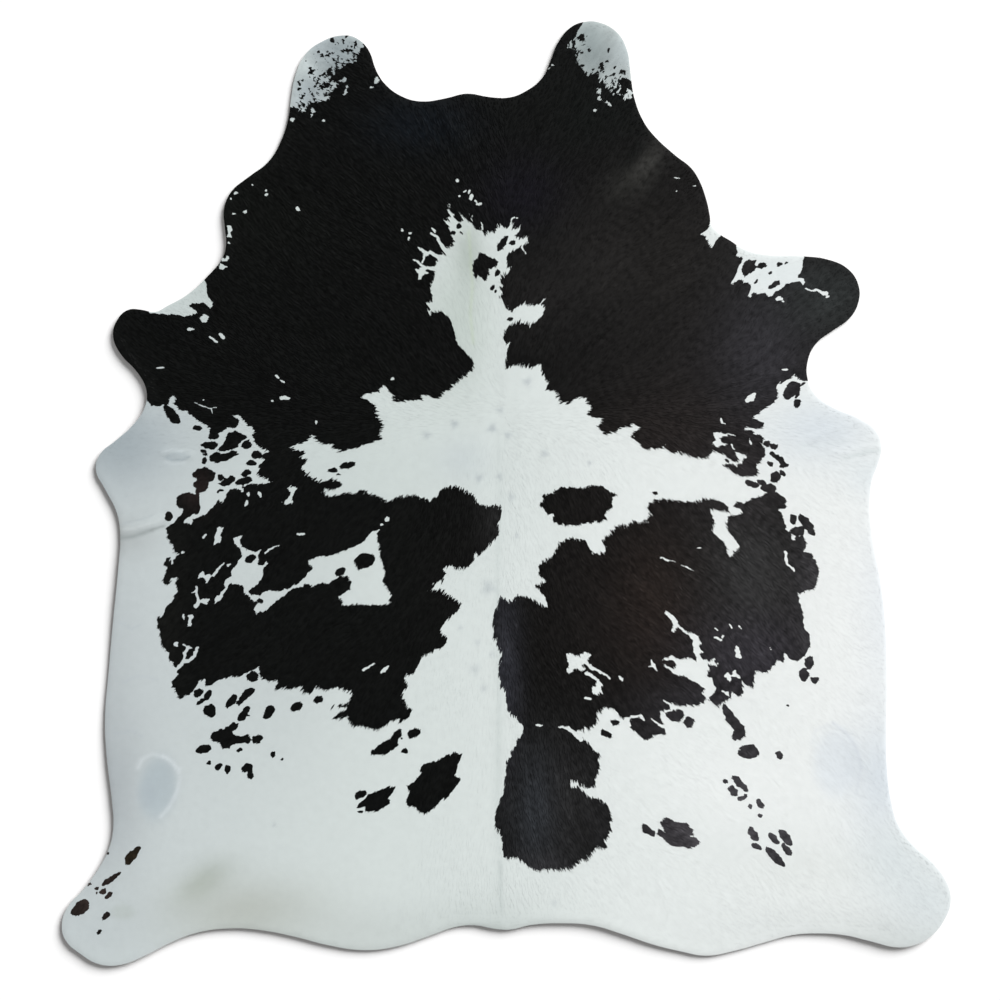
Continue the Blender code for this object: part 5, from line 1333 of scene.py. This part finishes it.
def buildLockTree():
    # Locks on the hair bed, along its flow, on one side of the coat pattern.
    tree = bpy.data.node_groups.new("hairLocks", "GeometryNodeTree")
    sockets = [
        ("Bed", "NodeSocketGeometry"), ("Lock", "NodeSocketObject"), ("Hair", "NodeSocketMaterial"),
        ("Dark Side", "NodeSocketFloat"), ("From", "NodeSocketFloat"), ("To", "NodeSocketFloat"),
        ("Seed", "NodeSocketInt"), ("Density", "NodeSocketFloat"), ("Length", "NodeSocketFloat"),
        ("Width", "NodeSocketFloat"), ("Rise", "NodeSocketFloat"), ("Rim Free", "NodeSocketFloat"),
        ("Sway", "NodeSocketVector"),
    ]
    for name, kind in sockets:
        tree.interface.new_socket(name=name, in_out="INPUT", socket_type=kind)
    tree.interface.new_socket(name="Locks", in_out="OUTPUT", socket_type="NodeSocketGeometry")
    nodes = tree.nodes
    given = nodes.new("NodeGroupInput").outputs
    result = nodes.new("NodeGroupOutput")

    def maths(operation, a, b):
        node = nodes.new("ShaderNodeMath")
        node.operation = operation
        for socket, value in zip(node.inputs, (a, b)):
            if isinstance(value, (int, float)):
                socket.default_value = value
            else:
                link(tree, value, socket)
        return node.outputs[0]

    def named(name, kind):
        node = nodes.new("GeometryNodeInputNamedAttribute")
        node.data_type = kind
        node.inputs["Name"].default_value = name
        return node.outputs["Attribute"]

    spread = nodes.new("GeometryNodeDistributePointsOnFaces")
    link(tree, given["Bed"], spread.inputs["Mesh"])
    link(tree, maths("MULTIPLY", given["Density"], named("crowd", "FLOAT")), spread.inputs["Density"])
    link(tree, given["Seed"], spread.inputs["Seed"])

    split = nodes.new("ShaderNodeSeparateXYZ")
    link(tree, nodes.new("GeometryNodeInputPosition").outputs[0], split.inputs[0])
    onSide = maths("GREATER_THAN", maths("MULTIPLY", named("pattern", "FLOAT"), given["Dark Side"]), 0.0)
    above = maths("GREATER_THAN", split.outputs["Y"], given["From"])
    below = maths("LESS_THAN", split.outputs["Y"], given["To"])
    inside = maths("GREATER_THAN", named("rimGap", "FLOAT"), given["Rim Free"])
    wanted = maths("MULTIPLY", maths("MULTIPLY", onSide, inside), maths("MULTIPLY", above, below))
    drop = nodes.new("GeometryNodeDeleteGeometry")
    drop.domain = "POINT"
    link(tree, spread.outputs["Points"], drop.inputs["Geometry"])
    link(tree, maths("LESS_THAN", wanted, 0.5), drop.inputs["Selection"])

    lock = nodes.new("GeometryNodeObjectInfo")
    link(tree, given["Lock"], lock.inputs["Object"])
    aim = nodes.new("FunctionNodeAxesToRotation")
    aim.primary_axis = "Z"
    aim.secondary_axis = "Y"
    link(tree, named("bedNormal", "FLOAT_VECTOR"), aim.inputs["Primary Axis"])
    link(tree, named("flow", "FLOAT_VECTOR"), aim.inputs["Secondary Axis"])
    least = nodes.new("ShaderNodeVectorMath")
    least.operation = "SCALE"
    least.inputs["Scale"].default_value = -1.0
    link(tree, given["Sway"], least.inputs[0])
    stray = nodes.new("FunctionNodeRandomValue")
    stray.data_type = "FLOAT_VECTOR"
    link(tree, least.outputs[0], stray.inputs[0])
    link(tree, given["Sway"], stray.inputs[1])
    link(tree, given["Seed"], stray.inputs["Seed"])
    euler = nodes.new("FunctionNodeEulerToRotation")
    link(tree, stray.outputs[0], euler.inputs[0])
    turn = nodes.new("FunctionNodeRotateRotation")
    turn.rotation_space = "LOCAL"
    link(tree, aim.outputs[0], turn.inputs[0])
    link(tree, euler.outputs[0], turn.inputs[1])

    vary = nodes.new("FunctionNodeRandomValue")
    vary.data_type = "FLOAT"
    vary.inputs[2].default_value, vary.inputs[3].default_value = lockSizes["vary"]
    link(tree, maths("ADD", given["Seed"], lockSizes["varySeed"]), vary.inputs["Seed"])
    long = maths("MULTIPLY", given["Length"], named("lockLong", "FLOAT"))
    long = maths("MULTIPLY", long, vary.outputs[1])
    wide = maths("MULTIPLY", maths("MULTIPLY", given["Width"], named("lockWide", "FLOAT")), vary.outputs[1])
    size = nodes.new("ShaderNodeCombineXYZ")
    link(tree, wide, size.inputs[0])
    link(tree, long, size.inputs[1])
    link(tree, given["Rise"], size.inputs[2])

    grow = nodes.new("GeometryNodeInstanceOnPoints")
    link(tree, drop.outputs[0], grow.inputs["Points"])
    link(tree, lock.outputs["Geometry"], grow.inputs["Instance"])
    link(tree, turn.outputs[0], grow.inputs["Rotation"])
    link(tree, size.outputs[0], grow.inputs["Scale"])
    real = nodes.new("GeometryNodeRealizeInstances")
    link(tree, grow.outputs[0], real.inputs[0])
    dress = nodes.new("GeometryNodeSetMaterial")
    link(tree, real.outputs[0], dress.inputs["Geometry"])
    link(tree, given["Hair"], dress.inputs["Material"])
    link(tree, dress.outputs[0], result.inputs[0])
    return tree


def setInput(modifier, name, value):
    for item in modifier.node_group.interface.items_tree:
        if item.item_type == "SOCKET" and item.in_out == "INPUT" and item.name == name:
            modifier[item.identifier] = value
            return


def easeNormals(mesh, relief):
    # The locks take their light mostly as the bed does, or every one would sparkle.
    count = len(mesh.vertices)
    lit = np.zeros(count * 3, np.float32)
    mesh.attributes["litNormal"].data.foreach_get("vector", lit)
    mixed = vertexValues(mesh, "normal") * relief + lit.reshape(-1, 3) * (1 - relief)
    mixed /= np.linalg.norm(mixed, axis=1)[:, None]
    mesh.normals_split_custom_set_from_vertices(mixed.tolist())


def growCoat(name, tree, lock, coat, low, high, seed):
    # One piece of coat, grown on the hair bed and kept as a plain mesh.
    form = coatForms[coat]
    carrier = newObject(name + "Carrier", hairBed.data)
    modifier = carrier.modifiers.new("locks", "NODES")
    modifier.node_group = tree
    values = {
        "Lock": lock, "Hair": hairMaterials[coat], "Dark Side": 1.0 if coat == "dark" else -1.0,
        "From": low, "To": high, "Seed": seed, "Density": float(lockSizes["density"]),
        "Length": lockSizes["length"], "Width": lockSizes["width"], "Rise": form["rise"],
        "Rim Free": lockSizes["rimFree"],
        "Sway": tuple(math.radians(v) for v in (form["tip"], form["roll"], lockSizes["sway"])),
    }
    for key, value in values.items():
        setInput(modifier, key, value)
    evaluated = carrier.evaluated_get(bpy.context.evaluated_depsgraph_get())
    mesh = bpy.data.meshes.new_from_object(evaluated)
    mesh.name = name
    piece = newObject(name, mesh)
    bpy.data.objects.remove(carrier)
    mesh.shade_smooth()
    easeNormals(mesh, form["relief"])
    for extra in [a.name for a in mesh.attributes]:
        if extra in bedValues:
            mesh.attributes.remove(mesh.attributes[extra])
    for layer in list(mesh.uv_layers):
        mesh.uv_layers.remove(layer)
    places = vertexValues(mesh, "co")
    colourOf = darkColourAndSheen if coat == "dark" else whiteColourAndLight
    addValues(piece, form["keeps"], "FLOAT_COLOR", colourOf(places[:, 0], places[:, 1]))
    flatMap(piece)
    return piece


bedValues = ("pattern", "rimGap", "lockLong", "lockWide", "crowd", "flow", "bedNormal", "litNormal",
             "whiteTintAndLight", "darkTintAndSheen")
hairMaterials = {"white": hairMaterial("whiteHair"), "dark": hairMaterial("blackHair")}
lock = buildLock()
lockTree = buildLockTree()
coats = []
for name, (coat, low, high, seed) in coatPieces.items():
    coats.append(growCoat(name, lockTree, lock, coat, low, high, seed))
    print(name, "has", sum(len(p.vertices) - 2 for p in coats[-1].data.polygons), "triangles")
bpy.data.objects.remove(lock)

for piece in [leather, hairBed] + coats:
    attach(piece, "root")
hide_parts("hide")
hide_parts("hide")

studio = {
    "seen": 2.3330,                     # metres of floor across the picture
    "centre": (-0.0147, -0.0157),       # where the picture's middle lies
    "lens": 85,
    "sensor": 36,
    "floor": (0.90, 0.9, 0.1),          # brightness, roughness and shine of the floor
    "floorHalf": 60,                    # how far it reaches to each side
    "floorDrop": 0.0003,                # and how far it lies below the hide
    "world": 0.27,
    "key": (45, 30, 5.70, 40),          # heading, height, strength and softness in degrees
}


def buildFloor():
    half, drop = studio["floorHalf"], studio["floorDrop"]
    corners = [(-half, -half, -drop), (half, -half, -drop), (half, half, -drop), (-half, half, -drop)]
    floor = newPiece("floor", np.array(corners), [(0, 1, 2, 3)])
    material, tree, shader = newMaterial("paleFloor")
    bright, roughness, shine = studio["floor"]
    shader.inputs["Base Color"].default_value = (bright, bright, bright, 1)
    shader.inputs["Roughness"].default_value = roughness
    shader.inputs["Specular IOR Level"].default_value = shine
    floor.data.materials.append(material)
    floor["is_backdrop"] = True


def buildLights():
    world = bpy.data.worlds.new("studio")
    world.use_nodes = True
    background = world.node_tree.nodes["Background"]
    background.inputs["Color"].default_value = (1, 1, 1, 1)
    background.inputs["Strength"].default_value = studio["world"]
    bpy.context.scene.world = world
    heading, height, strength, soft = studio["key"]
    lamp = bpy.data.lights.new("key", "SUN")
    lamp.energy = strength
    lamp.angle = math.radians(soft)
    key = newObject("key", lamp)
    turn, lift = math.radians(heading), math.radians(height)
    towards = Vector((-math.cos(turn) * math.cos(lift), -math.sin(turn) * math.cos(lift), -math.sin(lift)))
    key.rotation_euler = towards.to_track_quat("-Z", "Y").to_euler()


def buildCamera():
    data = bpy.data.cameras.new("camera")
    data.lens = studio["lens"]
    data.sensor_width = studio["sensor"]
    camera = newObject("camera", data)
    camera.location = (*studio["centre"], studio["seen"] * data.lens / data.sensor_width)
    bpy.context.scene.camera = camera


buildFloor()
buildLights()
buildCamera()
bpy.context.scene.view_settings.view_transform = "Standard"

low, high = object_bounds()
print("visual box", [round(v, 4) for v in low], [round(v, 4) for v in high])
